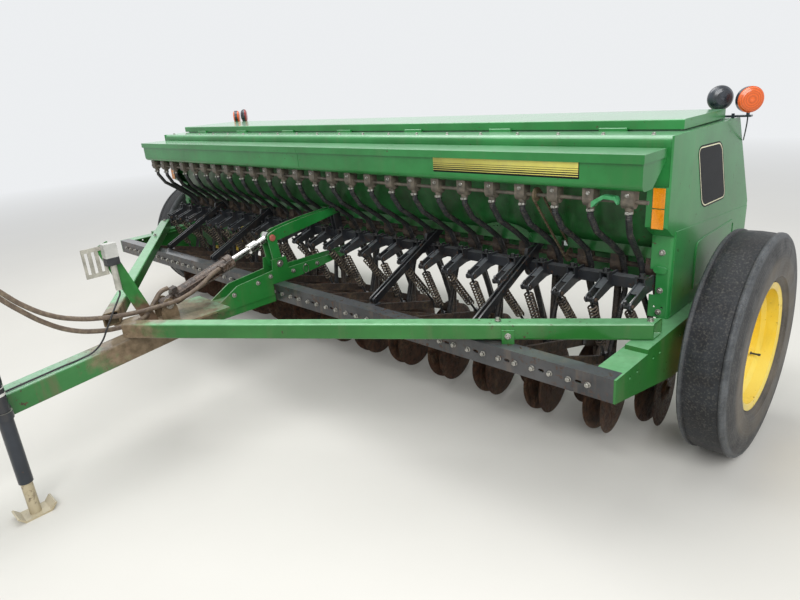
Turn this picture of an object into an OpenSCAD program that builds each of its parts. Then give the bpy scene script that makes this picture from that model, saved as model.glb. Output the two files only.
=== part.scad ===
// Towed grain drill with end wheels, a grass seed box in front of the main box,
// two ranks of double disc openers and a jack on the drawbar. Millimetres, +Z up.
// The drawbar points along -Y. Every place below is measured from the wheels' axis
// (y = 0) and from the ground (z = 0), and the whole machine is then moved along Y
// so that the middle of its length is at the origin.

/* [Rows] */
// Number of rows across the drill
rows = 26; // [12:2:32]
// Distance between two rows
row_pitch = 152.4; // [140:0.1:190]

/* [Wheels] */
// Outer diameter of a tyre
tyre_d = 958; // [880:1:1000]
// Width of a tyre across its sidewalls
tyre_w = 206; // [160:1:240]
// Diameter of the rim over its flanges
rim_d = 549; // [500:1:600]
// Width of the rim over its flanges
rim_w = 164; // [120:1:180]
// Distance from the outermost row's half pitch to the middle of the wheel
wheel_out = 212; // [195:1:260]

/* [Boxes] */
// Height of the main box's deck
deck_z = 1376; // [1300:1:1500]
// Y of the main box's front wall at the top
box_front = -370; // [-420:1:-330]
// Y of the main box's rear wall at the top
box_rear = 366; // [300:1:450]
// Thickness of the boxes' sheet metal
sheet = 4; // [2:0.5:6]
// Y of the main lid's front edge, where it is hinged
lid_front = -199; // [-230:1:-150]
// Depth of the main lid from front to rear
lid_depth = 461; // [400:1:500]
// Height of the main lid's rim
lid_rim = 38; // [25:1:60]
// Y of the grass box's front wall
grass_front = -568; // [-640:1:-540]
// Height of the grass box's lid
grass_lid_z = 1330; // [1290:1:1340]

/* [Frame] */
// Height of the front channel's top
channel_z = 622; // [600:1:640]
// Height of the front channel
channel_h = 92; // [60:1:100]
// Depth of the front channel's flanges
channel_d = 66; // [50:1:90]
// Y of the front channel's front face
channel_front = -872; // [-900:1:-860]
// Side of the drawbar frame's square tubes
tube_side = 68; // [60:1:76]
// Height of the drawbar's tube
bar_h = 102; // [90:1:110]
// Y of the drawbar's hitch pin
hitch_y = -2760; // [-2900:1:-2700]
// Thickness of the frame's plates
plate = 8; // [5:0.5:12]

/* [Openers] */
// Diameter of an opener disc
disc_d = 343; // [300:1:380]
// Thickness of an opener disc
disc_t = 4; // [3:0.5:6]
// Gap between the discs' lowest points and the ground when raised
disc_lift = 45; // [20:1:90]
// Y of the front rank's disc centres
front_disc_y = -290; // [-320:1:-270]
// Y of the rear rank's disc centres
rear_disc_y = -100; // [-120:1:-70]

/* [Jack] */
// Outer diameter of the jack's tube
jack_d = 58; // [50:1:70]
// Length of the jack's tube
jack_len = 470; // [420:1:520]

/* [Hidden] */

$fn = 48;
round_fn = 96;

half_span = rows * row_pitch / 2;
panel_x = half_span + 9;
lid_half = half_span - 20;
grass_half = half_span - 7;
channel_half = half_span + 64.5;
wheel_x = half_span + wheel_out;
axle_z = tyre_d / 2;

// places along the machine, from the wheels' axis
clevis_r = 36;
front_end = hitch_y - clevis_r;
board_rear = 800;
y_shift = -(front_end + board_rear) / 2;

// main box profile
lid_gap = 6;
shoulder_r = 25;
box_bend_z = 1180;
box_floor_z = 905;
box_floor_front = -255;
box_floor_rear = -60;
box_rear_bend_z = 1240;

// grass box profile
grass_back = box_front - 0.5;
grass_bottom_z = 1203;
grass_r = 26;
grass_cup_y = -521;
grass_cup_z = 1160;
grass_cup = [46, 50, 78];
grass_body_r = 26;
grass_spout = [19, 15, 34];
grass_shaft_r = 8;
grass_lever = [104, 30];
grass_lid_rim = 28;
grass_hinge_y = box_front - 16;

// main feed
meter_y = -250;
meter_z = 838;
meter = [48, 74, 104];
meter_body_r = 37;
meter_spout = [26, 20, 34];
meter_shaft_r = 11;
ledge = 38;
ledge_lip = [-18, 26];
quadrant_x = 1200;
quadrant_r = 300;
quadrant_top = 62;
seed_tube_r = 16;
grass_tube_r = 13;
drive_x = row_x(rows - 4) + 0.45 * row_pitch;

// braces from the front channel to the box, in row pitches from the middle
brace_rows = [-9, -5, 5, 9];
brace_foot_y = -782;
brace_head_y = -248;

// end panel
panel_front_top = box_front - 6;
panel_front_low = -296;
panel_step_z = 1035;
panel_low_z = channel_z + 18.3;
panel_rear = 625;
panel_rear_z = 960;
panel_step = 50;
flange_w = 84;
reflector_top = 1190;
corner_r = 14;
crease = [[panel_front_low, 1003], [panel_rear, 938]];
crease_rise = 3;
cover_rise = 7;
bump_z = 845;

// openers
hinge_y = channel_front + 97;
hinge_z = channel_z - 47;
hinge_r = 12.5;
disc_z = disc_lift + disc_d / 2;
boot_top_z = disc_z + 190;
toe = 5;
disc_gap = disc_d / 2 * sin(toe) + disc_t / 2 + 0.6;
front_rod_y = -354;
rear_rod_y = -265;

chain_pitch = 15.875;
chain_roller = 4.4;
sprocket_r = 28;

// lift
shaft_y = -330;
shaft_z = 790;
shaft_side = 44;
arm_tip = [-165, -45];
arm_gap = 34;
clamp_side = 66;
shaft_notch = 110;
hanger_hole = 36;
lever_top = [-837, 879];
lever_vec = [-20, 150];
cylinder_base = [-1480, 692];
rod_len = norm(lever_top - cylinder_base);
rod_angle = atan2(lever_top[1] - cylinder_base[1], lever_top[0] - cylinder_base[0]);
lever_foot = lever_top - lever_vec;
link_rear = [shaft_y, shaft_z] + lever_vec;

// drawbar
bar_slope = 5.6;
apex_y = -1500;
apex_z = 557;
bar_end_y = -1460;
bar_w = 112;
hitch_z = apex_z + (hitch_y - apex_y) * tan(bar_slope);
frame_end = [half_span + 30.6, -500.2, panel_low_z + 0.5 + tube_side / 2];
frame_apex = [131.8, -1696.1, channel_z + 2 + tube_side / 2];
frame_tip_x = 112;
frame_end_x = channel_half - 19;
raised_h = 18;
apex_plate = [320, 470, 9.7];
tube_round = 9;
bar_round = 11;
brace_bar = [8, 34];
slot = [26, 13];
mast_front = -1240;

// jack
jack_y = -2280;
jack_x = bar_w / 2 + 68;
jack_foot = [92, 104, 8];
jack_foot_wing = [26, 30];
jack_z = apex_z + (jack_y - apex_y) * tan(bar_slope);
jack_top = jack_z + 150;

// lamps
lamp_r = 54;
lamp_y = 336;
lamp_turn = 40;
lamp_bar = [28, 8];
rear_lamp = [panel_x - 77, deck_z + 84];
side_lamp = [panel_x + 39, deck_z + 75];

// longer than anything that a cut goes through
reach = 3000;

// cords, from the wheels' axis, lying from the lift cylinder to the drawbar's front
hose_r = 11;
cable_r = 4;
hose_upper_path = [[58, -1190, 800], [58, -1230, 786], [58, -1290, 752], [56, -1360, 722],
    [61, -1440, 706], [60, -1540, 704], [50, -1656, 706], [38, -1792, 724],
    [30, -1895, 752], [26, -1990, 798], [22, -2085, 878], [20, -2141, 946],
    [20, -2190, 1010], [22, -2230, 1056], [23, -2275, 1078], [23, -2320, 1062],
    [23, -2350, 1020], [23, -2362, 960], [23, -2366, 880], [23, -2366, 800]];
hose_lower_path = [[22, -1462, 768], [24, -1500, 760], [26, -1540, 724], [27, -1590, 672],
    [27, -1650, 652], [26, -1717, 650], [24, -1828, 668], [18, -1927, 706],
    [8, -2014, 768], [-2, -2089, 846], [-12, -2149, 920], [-18, -2196, 990],
    [-22, -2234, 1046], [-23, -2275, 1078], [-23, -2322, 1060], [-23, -2350, 1010],
    [-23, -2362, 940], [-23, -2366, 860], [-23, -2366, 770]];
cable_path = [[34, -1692, 829.9], [34, -1692, 812], [40, -1708, 790], [53, -1738, 756], [60, -1768, 716],
    [60, -1796, 672], [53, -1826, 622], [43, -1868, 585], [38, -1919, 572.5],
    [36, -2008, 564], [36, -2089, 556.2], [36, -2165, 548.8], [36, -2237, 541.6]];
hose_rest_y = -2275;
hose_rest_z = 1066;

function row_x(i) = (i - (rows - 1) / 2) * row_pitch;
function front_rank() = [for (i = [0:2:rows - 1]) i];
function rear_rank() = [for (i = [1:2:rows - 1]) i];

// a point list swept by a ring of n points, square to the path at each point
function unit(v) = v / norm(v);
function heading(p, i) = unit(p[min(i + 1, len(p) - 1)] - p[max(i - 1, 0)]);
function ring_side(t) = unit(cross(t, abs(t[0]) > 0.9 ? [0, 1, 0] : [1, 0, 0]));
function ring(p, i, r, n) =
    let (t = heading(p, i), a = ring_side(t), b = cross(t, a))
    [for (k = [0:n - 1]) p[i] + r * (cos(360 * k / n) * a + sin(360 * k / n) * b)];

module sweep(p, r, n = 8) {
    m = len(p);
    pts = [for (i = [0:m - 1]) each ring(p, i, r, n)];
    sides = [for (i = [0:m - 2], k = [0:n - 1])
        [i * n + k, (i + 1) * n + k, (i + 1) * n + (k + 1) % n, i * n + (k + 1) % n]];
    caps = [[for (k = [0:n - 1]) k], [for (k = [0:n - 1]) m * n - 1 - k]];
    polyhedron(pts, concat(sides, caps));
}

module place() {
    translate([0, y_shift, 0])
        children();
}

// a flat outline drawn in Y and Z, from x0 to x1
module across(x0, x1) {
    translate([x0, 0, 0])
        rotate([90, 0, 90])
            linear_extrude(x1 - x0)
                children();
}

module bar_x(x0, x1, y, z, r) {
    translate([x0, y, z])
        rotate([0, 90, 0])
            cylinder(h = x1 - x0, r = r);
}

// a round bar between two points
module rod(a, b, r) {
    d = b - a;
    translate(a)
        rotate([0, acos(d[2] / norm(d)), atan2(d[1], d[0])])
            cylinder(h = norm(d), r = r);
}

// a square tube between two points at the same side, standing on edge lines of Z
module square_tube(a, b, w, h, wall, r = 0.5) {
    d = b - a;
    translate(a)
        rotate([0, -asin(d[2] / norm(d)), atan2(d[1], d[0])])
            rotate([90, 0, 90])
                linear_extrude(norm(d))
                    difference() {
                        rounded(w, h, r);
                        rounded(w - 2 * wall, h - 2 * wall, max(r - wall, 0.4));
                    }
}

// a square outline with round corners, about its middle
module rounded(w, h, r) {
    polygon([for (q = [0:3]) for (a = [q * 90:22.5:q * 90 + 90])
        [(q == 0 || q == 3 ? 1 : -1) * (w / 2 - r) + r * cos(a),
         (q < 2 ? 1 : -1) * (h / 2 - r) + r * sin(a)]]);
}

// a hole with round ends, along the outline's first axis
module slot_hole(length, width) {
    square([length - width, width], center = true);
    for (s = [-1, 1])
        translate([s * (length - width) / 2, 0])
            circle(width / 2, $fn = 12);
}

module both_sides() {
    children();
    mirror([1, 0, 0])
        children();
}

// Seed box

module box_outline(inset) {
    polygon([
        [box_front + inset, deck_z - shoulder_r - inset],
        for (a = [180:-15:90])
            [box_front + shoulder_r + (shoulder_r - inset) * cos(a),
             deck_z - shoulder_r + (shoulder_r - inset) * sin(a)],
        [box_rear - inset, deck_z - inset],
        [box_rear - inset, box_rear_bend_z],
        [box_floor_rear - inset * 0.4, box_floor_z + inset],
        [box_floor_front + inset * 0.4, box_floor_z + inset],
        [box_front + inset, box_bend_z]]);
}

module hopper() {
    color("forestgreen") {
        difference() {
            across(-panel_x + 5.5, panel_x - 5.5)
                box_outline(0);
            across(-panel_x + 5.5 + sheet, panel_x - 5.5 - sheet)
                box_outline(sheet);
            translate([-lid_half + 24, lid_front + 22, deck_z - sheet - 1])
                cube([2 * lid_half - 48, lid_depth - 44, sheet + 2]);
        }
        difference() {
            translate([-lid_half + 20, lid_front + 18, deck_z - 0.5])
                cube([2 * lid_half - 40, lid_depth - 36, lid_gap + lid_rim - sheet + 0.2]);
            translate([-lid_half + 24, lid_front + 22, deck_z - 2])
                cube([2 * lid_half - 48, lid_depth - 44, lid_gap + lid_rim + 4]);
        }
        // knuckles of the lid's hinge
        for (k = [-3:3])
            across(k * 560 - 60, k * 560 + 60) {
                translate([lid_front - 6, deck_z + 8])
                    circle(5.7);
                translate([lid_front - 11.7, deck_z - 0.5])
                    square([11.4, 8.5]);
            }
        // ledge along the box's lower front edge, with its lip, notched for the chain
        difference() {
            across(-panel_x + flange_w + 2, panel_x - flange_w - 2) {
                translate([box_floor_front - ledge, box_floor_z])
                    square([ledge + 4, sheet]);
                translate([box_floor_front - ledge, box_floor_z + ledge_lip[0]])
                    square([sheet, ledge_lip[1] - ledge_lip[0]]);
            }
            translate([drive_x - 16, box_floor_front - ledge - 1, box_floor_z - 30])
                cube([32, ledge - 2, 70]);
        }
        // stiffening rib pressed along the rear wall
        across(-panel_x + 60, panel_x - 60)
            polygon([[box_rear - 1, 1296], [box_rear + 9, 1304], [box_rear + 9, 1326],
                [box_rear - 1, 1334]]);
        quadrant();
    }
}

// curved plate of the feed rate's lever, with its row of holes
module quadrant() {
    translate([quadrant_x, box_floor_front - ledge + 1, box_floor_z + quadrant_top])
        rotate([90, 0, 0])
            linear_extrude(6)
                difference() {
                    polygon([[-150, 4 - quadrant_top], [-128, -20],
                        for (a = [115:-5:65])
                            [quadrant_r * cos(a), quadrant_r * (sin(a) - 1)],
                        [150, 4 - quadrant_top]]);
                    for (a = [78:4:102])
                        translate([(quadrant_r - 16) * cos(a), (quadrant_r - 16) * sin(a) - quadrant_r])
                            circle(3.5, $fn = 12);
                }
}

module lid_outline(inset, r) {
    x0 = lid_front + inset;
    x1 = lid_front + lid_depth - inset;
    top = deck_z + lid_gap + lid_rim - inset;
    polygon([[x0, deck_z + lid_gap - inset],
        for (a = [180:-22.5:90])
            [x0 + r + r * cos(a), top - r + r * sin(a)],
        for (a = [90:-22.5:0])
            [x1 - r + r * cos(a), top - r + r * sin(a)],
        [x1, deck_z + lid_gap - inset]]);
}

module main_lid() {
    color("forestgreen")
        difference() {
            across(-lid_half, lid_half)
                lid_outline(0, 7);
            across(-lid_half + sheet, lid_half - sheet)
                lid_outline(sheet, 3);
        }
}

// the front flange and the panel's corner, seen from above, with the flange's front at y = 0
module corner_outline() {
    r = corner_r;
    polygon([[panel_x - flange_w, 0],
        for (a = [90:-15:0])
            [panel_x - r + r * sin(90 - a), r - r * sin(a)],
        [panel_x, r + 6], [panel_x - 5, r + 6], [panel_x - 5, 5], [panel_x - flange_w, 5]]);
}

module end_panel_left() {
    low_top = panel_step_z - panel_step;
    // the flat outer plate starts behind the round corner
    outline = [[panel_front_top + corner_r, deck_z], [panel_front_top + corner_r, reflector_top],
        [panel_front_top + corner_r, panel_step_z],
        [panel_front_top, panel_step_z], [panel_front_low, low_top],
        [panel_front_low + corner_r, low_top], [panel_front_low + corner_r, panel_low_z],
        [panel_rear - 70, panel_low_z], [panel_rear, panel_low_z + 110],
        [panel_rear, panel_rear_z], [box_rear + 12, deck_z - 10], [box_rear + 4, deck_z]];
    color("forestgreen") {
        across(panel_x - 5, panel_x)
            polygon(outline);
        // front flange, with a round corner to the outer plate
        difference() {
            translate([0, panel_front_low, panel_low_z])
                linear_extrude(low_top - panel_low_z)
                    corner_outline();
            // notch that the rockshaft's end turns in
            translate([panel_x - flange_w - 1, panel_front_low - 1, shaft_z - shaft_notch / 2])
                cube([row_x(rows - 1) + arm_gap / 2 + 10 - panel_x + flange_w, 8, shaft_notch]);
            // oval holes in the flange's foot
            for (x = [panel_x - 60, panel_x - 28])
                translate([x, panel_front_low - 1, panel_low_z + 45])
                    rotate([-90, 0, 0])
                        cylinder(h = 8, r = 4.5, $fn = 12);
        }
        translate([0, panel_front_top, panel_step_z])
            linear_extrude(reflector_top - panel_step_z)
                corner_outline();
        // above the reflector the box's own front takes the flange's place
        translate([0, panel_front_top, reflector_top])
            linear_extrude(deck_z - reflector_top)
                intersection() {
                    corner_outline();
                    translate([panel_x - 5, -1])
                        square([6, corner_r + 8]);
                }
        // sloping stretch of the flange
        across(panel_x - flange_w, panel_x - 5)
            polygon([[panel_front_top, panel_step_z + 4], [panel_front_top, panel_step_z],
                [panel_front_low, low_top], [panel_front_low, low_top - 4],
                [panel_front_low + 5, low_top - 4], [panel_front_low + 5, low_top + 3],
                [panel_front_top + 5, panel_step_z + 3], [panel_front_top + 5, panel_step_z + 4]]);
        across(panel_x - 45, panel_x - 5)
            polygon([[panel_rear, panel_low_z + 110], [panel_rear, panel_rear_z],
                [box_rear + 12, deck_z - 10], [box_rear + 7, deck_z - 10],
                [panel_rear - 5, panel_rear_z], [panel_rear - 5, panel_low_z + 110]]);
        across(panel_x - 60, panel_x - 5)
            translate([panel_front_low, panel_low_z])
                square([panel_rear - 70 - panel_front_low, 5]);
        // lower half stands proud below a crease that rises to the rear
        across(panel_x - 1, panel_x + crease_rise)
            polygon([crease[0] + [corner_r, 0], crease[1] - [6, 0],
                [panel_rear - 6, panel_low_z + 112], [panel_rear - 73, panel_low_z + 6],
                [panel_front_low + corner_r, panel_low_z + 6]]);
        // pressed cover of the drive
        across(panel_x, panel_x + cover_rise)
            difference() {
                drive_cover(0);
                drive_cover(16);
            }
        across(panel_x, panel_x + crease_rise + 1.5)
            drive_cover(15);
        // long pressed bump on the front flange
        translate([panel_x - flange_w / 2, panel_front_low + 1, bump_z])
            rotate([90, 0, 0])
                linear_extrude(9)
                    slot_hole(54, 28);
    }
}

module drive_cover(inset) {
    lo = panel_low_z + 60 + inset;
    r = 26;
    polygon([[-50 + inset, lo], [-50 + inset, 872],
        for (a = [180:-20:110])
            [-22 + (28 - inset) * cos(a), 872 + (28 - inset) * sin(a) * 1.35],
        [40, 912 - inset], [430 - r, 912 - inset],
        for (a = [60:-30:0])
            [430 - r + (r - inset) * cos(a), 912 - r + (r - inset) * sin(a)],
        [430 - inset, lo]]);
}

module end_panel_right() {
    mirror([1, 0, 0])
        end_panel_left();
}

// Grass seed box

module grass_outline(inset) {
    r = grass_r - inset;
    polygon([
        [grass_back - inset, grass_lid_z + 0.7],
        [grass_front + inset, grass_lid_z + 0.7],
        for (a = [180:15:270])
            [grass_front + grass_r + r * cos(a), grass_bottom_z + grass_r + r * sin(a)],
        [grass_cup_y + 40, grass_bottom_z + inset],
        [grass_back - inset, 1290 + inset]]);
}

module grass_box_half() {
    color("forestgreen")
        difference() {
            across(1.5, grass_half - 6)
                grass_outline(0);
            across(1.5 + sheet, grass_half - 6 - sheet)
                grass_outline(sheet);
            across(1.5 + sheet, grass_half - 6 - sheet)
                translate([grass_front + sheet, grass_lid_z - 5])
                    square([grass_back - grass_front - 2 * sheet, 7]);
        }
}

module grass_box_left() {
    grass_box_half();
}

module grass_box_right() {
    mirror([1, 0, 0])
        grass_box_half();
}

module grass_lid_half() {
    color("forestgreen")
        difference() {
            translate([1, grass_front - 9, grass_lid_z + 1 - grass_lid_rim])
                cube([grass_half - 1, grass_hinge_y - grass_front + 9, grass_lid_rim + sheet]);
            translate([-1, grass_front - 9 + sheet, grass_lid_z - grass_lid_rim])
                cube([grass_half + 1 - sheet, grass_hinge_y - grass_front + 9, grass_lid_rim + 1]);
        }
}

module grass_lid_left() {
    grass_lid_half();
}

module grass_lid_right() {
    mirror([1, 0, 0])
        grass_lid_half();
}

module grass_feed() {
    cup_top = grass_bottom_z - 0.3;
    spout_z = cup_top - grass_cup[2];
    color("dimgray") {
        bar_x(-grass_half, grass_half, grass_cup_y, grass_cup_z, grass_shaft_r);
        for (i = [0:rows - 1])
            translate([row_x(i), 0, 0]) {
                across(-grass_cup[0] / 2, grass_cup[0] / 2) {
                    translate([grass_cup_y, grass_cup_z])
                        circle(grass_body_r, $fn = 24);
                    translate([grass_cup_y - grass_cup[1] / 2, grass_cup_z])
                        square([grass_cup[1], cup_top - grass_cup_z]);
                }
                translate([0, grass_cup_y, spout_z])
                    cylinder(h = grass_spout[2], r1 = grass_spout[1], r2 = grass_spout[0]);
            }
    }
    // bent handle of the feed's shaft, between two cups
    color("green")
        translate([row_x(rows - 2) + grass_cup[0] / 2 - 2, grass_cup_y - grass_body_r + 10,
            grass_cup_z])
            rotate([90, 0, 0])
                linear_extrude(grass_lever[1])
                    polygon([[-6, -10], [10, 4], [46, 25], [96, 22], [grass_lever[0], 8],
                        [grass_lever[0], -6], [92, 10], [50, 12], [22, -6], [8, -22], [-6, -22]]);
}

module grass_tubes() {
    top = grass_bottom_z - grass_cup[2] - 0.6;
    color([0.12, 0.12, 0.12])
        for (i = [0:rows - 1]) {
            x = row_x(i);
            // each tube leans outwards past the rockshaft's arms, the two end ones inwards
            s = sign(x) * (i == 0 || i == rows - 1 ? -1 : 1);
            y = i % 2 == 0 ? front_disc_y : rear_disc_y;
            sweep([[x, grass_cup_y, top], [x, grass_cup_y, top - 30],
                [x + s * 10, grass_cup_y + 40, top - 100], [x + s * 28, -395, 960],
                [x + s * 38, -315, 895], [x + s * 38, -272, 815], [x + s * 38, -262, 720],
                [x + s * 28, (y - 292) / 2, 600], [x + s * 13, y - 32, boot_top_z + 50],
                [x + s * 9, y - 24, boot_top_z + 20], [x + s * 9, y - 24, boot_top_z + 0.6]],
                grass_tube_r, 8);
        }
}

// Main feed

module seed_meters() {
    meter_top = box_floor_z - 0.3;
    spout_z = meter_top - meter[2];
    color("saddlebrown") {
        bar_x(-panel_x + 8, panel_x - 8, meter_y, meter_z, meter_shaft_r);
        for (i = [0:rows - 1])
            translate([row_x(i), 0, 0]) {
                across(-meter[0] / 2, meter[0] / 2) {
                    translate([meter_y, meter_z])
                        circle(meter_body_r, $fn = 24);
                    translate([meter_y - meter[1] / 2 + 4, meter_z])
                        square([meter[1] - 8, meter_top - meter_z]);
                }
                translate([-meter[0] / 2 - 5, meter_y - meter[1] / 2 + 2, meter_top - 6])
                    cube([meter[0] + 10, meter[1] - 4, 6]);
                translate([0, meter_y + 8, spout_z])
                    cylinder(h = meter_spout[2], r1 = meter_spout[1], r2 = meter_spout[0]);
            }
    }
}

module seed_tubes() {
    top = box_floor_z - meter[2] - 0.6;
    color([0.2, 0.15, 0.12])
        intersection() {
            for (i = [0:rows - 1]) {
                x = row_x(i);
                y = (i % 2 == 0 ? front_disc_y : rear_disc_y) + 15;
                a = [x, meter_y + 8, top];
                d = [x, y, boot_top_z] - a;
                rod(a - 0.1 * d, a + 1.1 * d, seed_tube_r);
            }
            translate([-half_span, -reach, boot_top_z + 0.3])
                cube([2 * half_span, 2 * reach, top - boot_top_z - 0.3]);
        }
}

module sprocket(r, t) {
    rotate([0, 90, 0])
        linear_extrude(t, center = true)
            difference() {
                circle(r);
                for (a = [0:24:359])
                    rotate(a)
                        translate([r, 0])
                            circle(3.4, $fn = 16);
            }
}

// one strand of roller chain seen from the side, along the first axis
module chain_strand(length) {
    n = floor(length / chain_pitch);
    gap = (length - n * chain_pitch) / 2;
    translate([0, -chain_roller * 0.6])
        square([length, chain_roller * 1.2]);
    for (k = [0:n])
        translate([gap + k * chain_pitch, 0])
            circle(chain_roller, $fn = 10);
}

module feed_drive() {
    a = [grass_cup_y, grass_cup_z];
    b = [meter_y, meter_z];
    d = b - a;
    color("dimgray") {
        for (p = [a, b])
            translate([drive_x, p[0], p[1]])
                difference() {
                    sprocket(sprocket_r, 6);
                    rotate([0, 90, 0])
                        cylinder(h = 10, r = (p == a ? grass_shaft_r : meter_shaft_r) + 0.05,
                            center = true);
                }
        for (s = [-1, 1])
            across(drive_x - 4, drive_x + 4)
                translate(a)
                    rotate(atan2(d[1], d[0]))
                        translate([0, s * sprocket_r])
                            chain_strand(norm(d));
        // the chain round the outer half of each sprocket
        for (q = [[a, 180], [b, 0]])
            across(drive_x - 4, drive_x + 4)
                translate(q[0])
                    rotate(atan2(d[1], d[0]) + q[1])
                        difference() {
                            circle(sprocket_r + 2.6, $fn = 36);
                            circle(sprocket_r - 2.6, $fn = 36);
                            translate([-2 * sprocket_r, -2 * sprocket_r])
                                square([2 * sprocket_r - 0.5, 4 * sprocket_r]);
                        }
    }
}

// Frame

module front_channel() {
    color([0.16, 0.16, 0.17])
        difference() {
            translate([-channel_half + plate + 0.3, channel_front, channel_z - channel_h])
                cube([2 * (channel_half - plate - 0.3), channel_d, channel_h]);
            translate([-channel_half, channel_front + 6, channel_z - channel_h + 6])
                cube([2 * channel_half, channel_d, channel_h - 12]);
            for (i = [0:rows - 1])
                translate([row_x(i), channel_front - 1, channel_z - channel_h / 2])
                    rotate([-90, 0, 0])
                        linear_extrude(8)
                            slot_hole(slot[0], slot[1]);
        }
    // hinge bar of the openers and the ears that hold it
    color([0.16, 0.16, 0.17]) {
        bar_x(-half_span + 20, half_span - 20, hinge_y, hinge_z, hinge_r);
        for (i = [0:3:rows - 2])
            translate([row_x(i) + row_pitch / 2, 0, 0])
                across(-4, 4)
                    polygon([[channel_front + 5, channel_z - 8], [hinge_y + 10, hinge_z + 18],
                        [hinge_y + 18, hinge_z + 8], [hinge_y + 18, hinge_z - 10],
                        [hinge_y + 8, hinge_z - 18], [channel_front + 5, channel_z - channel_h + 8]]);
        for (k = brace_rows)
            translate([k * row_pitch - 24, channel_front + channel_d - 1, channel_z - 8])
                cube([48, brace_foot_y + 22 - channel_front - channel_d, 8]);
    }
}

module end_bracket_left() {
    x1 = channel_half;
    y0 = channel_front + channel_d + 0.3;
    low = [[channel_front + 4, channel_z - channel_h], [-364, 424], [120, 384], [166, 426],
        [166, channel_z - 2]];
    color("forestgreen")
        difference() {
            union() {
                across(x1 - plate, x1)
                    polygon([[channel_front, channel_z],
                        [channel_front, channel_z - channel_h], [-364, 424], [120, 384],
                        [170, 430], [170, channel_z]]);
                // flange along the web's lower and rear edges
                across(x1 - 56, x1 - plate + 1)
                    difference() {
                        polygon([[y0 + 2, channel_z - channel_h + 1], low[1], low[2],
                            [170, 430], [170, channel_z - 7], [y0 + 2, channel_z - 7]]);
                        polygon([[y0 - 60, channel_z - channel_h + 24], low[1] + [1, 7],
                            low[2] + [-2, 7], [163, 433], [163, channel_z + 5],
                            [y0 - 60, channel_z + 5]]);
                    }
                translate([x1 - 100, y0, channel_z - 8])
                    cube([100, 170 - y0, 8]);
                translate([x1 - 88, -616, channel_z - 1])
                    cube([88, 786, raised_h + 1]);
                translate([x1 - 60, -70, axle_z - 60])
                    cube([60, 140, 120]);
            }
            bar_x(x1 - 70, x1 + 1, 0, axle_z, 30.05);
            // pairs of holes in the web
            for (y = [-760, -700, -560, -500, -300, -240])
                bar_x(x1 - plate - 2, x1 + 1, y, channel_z - 34, 6.5);
        }
}

module end_bracket_right() {
    mirror([1, 0, 0])
        end_bracket_left();
}

// pairs of flat bars, each with a plate that hangs the rockshaft below it
module draft_braces() {
    foot = [brace_foot_y, channel_z + brace_bar[1] / 2 - 0.1];
    head = [brace_head_y, box_floor_z - brace_bar[1] / 2];
    d = head - foot;
    on_shaft = foot + d * (shaft_y - foot[0]) / d[0];
    color([0.14, 0.14, 0.15])
        for (k = brace_rows)
            translate([k * row_pitch, 0, 0]) {
                for (s = [-12, 12])
                    across(s - brace_bar[0] / 2, s + brace_bar[0] / 2)
                        strap(foot, head, brace_bar[1] / 2, 0);
                for (p = [foot, head])
                    bar_x(-20, 20, p[0], p[1], 8);
                across(-7.9, 7.9)
                    difference() {
                        strap([shaft_y, shaft_z], on_shaft, 50, 0);
                        translate([shaft_y, shaft_z])
                            circle(hanger_hole);
                        translate([shaft_y - 100, on_shaft[1] + 30])
                            square([200, 100]);
                    }
            }
}

module main_tube() {
    color("darkgreen")
        translate([-panel_x + 6, 50, 750])
            rotate([90, 0, 90])
                linear_extrude(2 * panel_x - 12)
                    difference() {
                        rounded(100, 100, 10);
                        rounded(88, 88, 4);
                    }
}

module a_frame_left() {
    d = frame_end - frame_apex;
    color("limegreen")
        intersection() {
            square_tube(frame_apex - 0.2 * d, frame_end + 0.2 * d, tube_side, tube_side, 6,
                tube_round);
            translate([frame_tip_x, -reach, 0])
                cube([frame_end_x - frame_tip_x, reach, reach]);
        }
}

module a_frame_right() {
    mirror([1, 0, 0])
        a_frame_left();
}

module drawbar() {
    bar_len = apex_y - hitch_y;
    color("limegreen") {
        difference() {
            translate([0, apex_y, apex_z])
                rotate([90 + bar_slope, 0, 0])
                    translate([0, 0, -60])
                        difference() {
                            linear_extrude(bar_len - 10)
                                rounded(bar_w, bar_h, bar_round);
                            translate([0, 0, -1])
                                linear_extrude(bar_len - 23)
                                    rounded(bar_w - 16, bar_h - 16, bar_round - 7);
                        }
            translate([-bar_w, bar_end_y, 0])
                cube([2 * bar_w, 200, 1000]);
        }
        // flat plate under the tips of the frame's tubes
        translate([-apex_plate[0] / 2, bar_end_y - 1 - apex_plate[1] / 2, channel_z - apex_plate[2]])
            cube(apex_plate);
        // ears and pin that hold the lift cylinder's base
        for (x = [-42, 34])
            across(x, x + plate)
                translate(cylinder_base)
                    polygon([[-46, -80], [42, -74], [40, -30], [26, 14], [18, 24], [8, 30],
                        [-8, 30], [-18, 24], [-26, 14], [-44, -30]]);
        bar_x(-48, 48, cylinder_base[0], cylinder_base[1], 12);
        // clevis hitch: two level tongues with one pin hole
        for (z = [-26, 14])
            difference() {
                union() {
                    translate([-clevis_r, hitch_y, hitch_z + z])
                        cube([2 * clevis_r, 150, 14]);
                    translate([0, hitch_y, hitch_z + z])
                        cylinder(h = 14, r = clevis_r);
                }
                translate([0, hitch_y, hitch_z + z - 1])
                    cylinder(h = 16, r = 16);
            }
        // wings that stiffen the tongues against the bar's end
        for (x = [-clevis_r - 0.5, clevis_r - 7.5])
            across(x, x + 8)
                translate([hitch_y, hitch_z])
                    polygon([[58, -30], [150, -46], [150, 46], [58, 32]]);
    }
}

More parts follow.
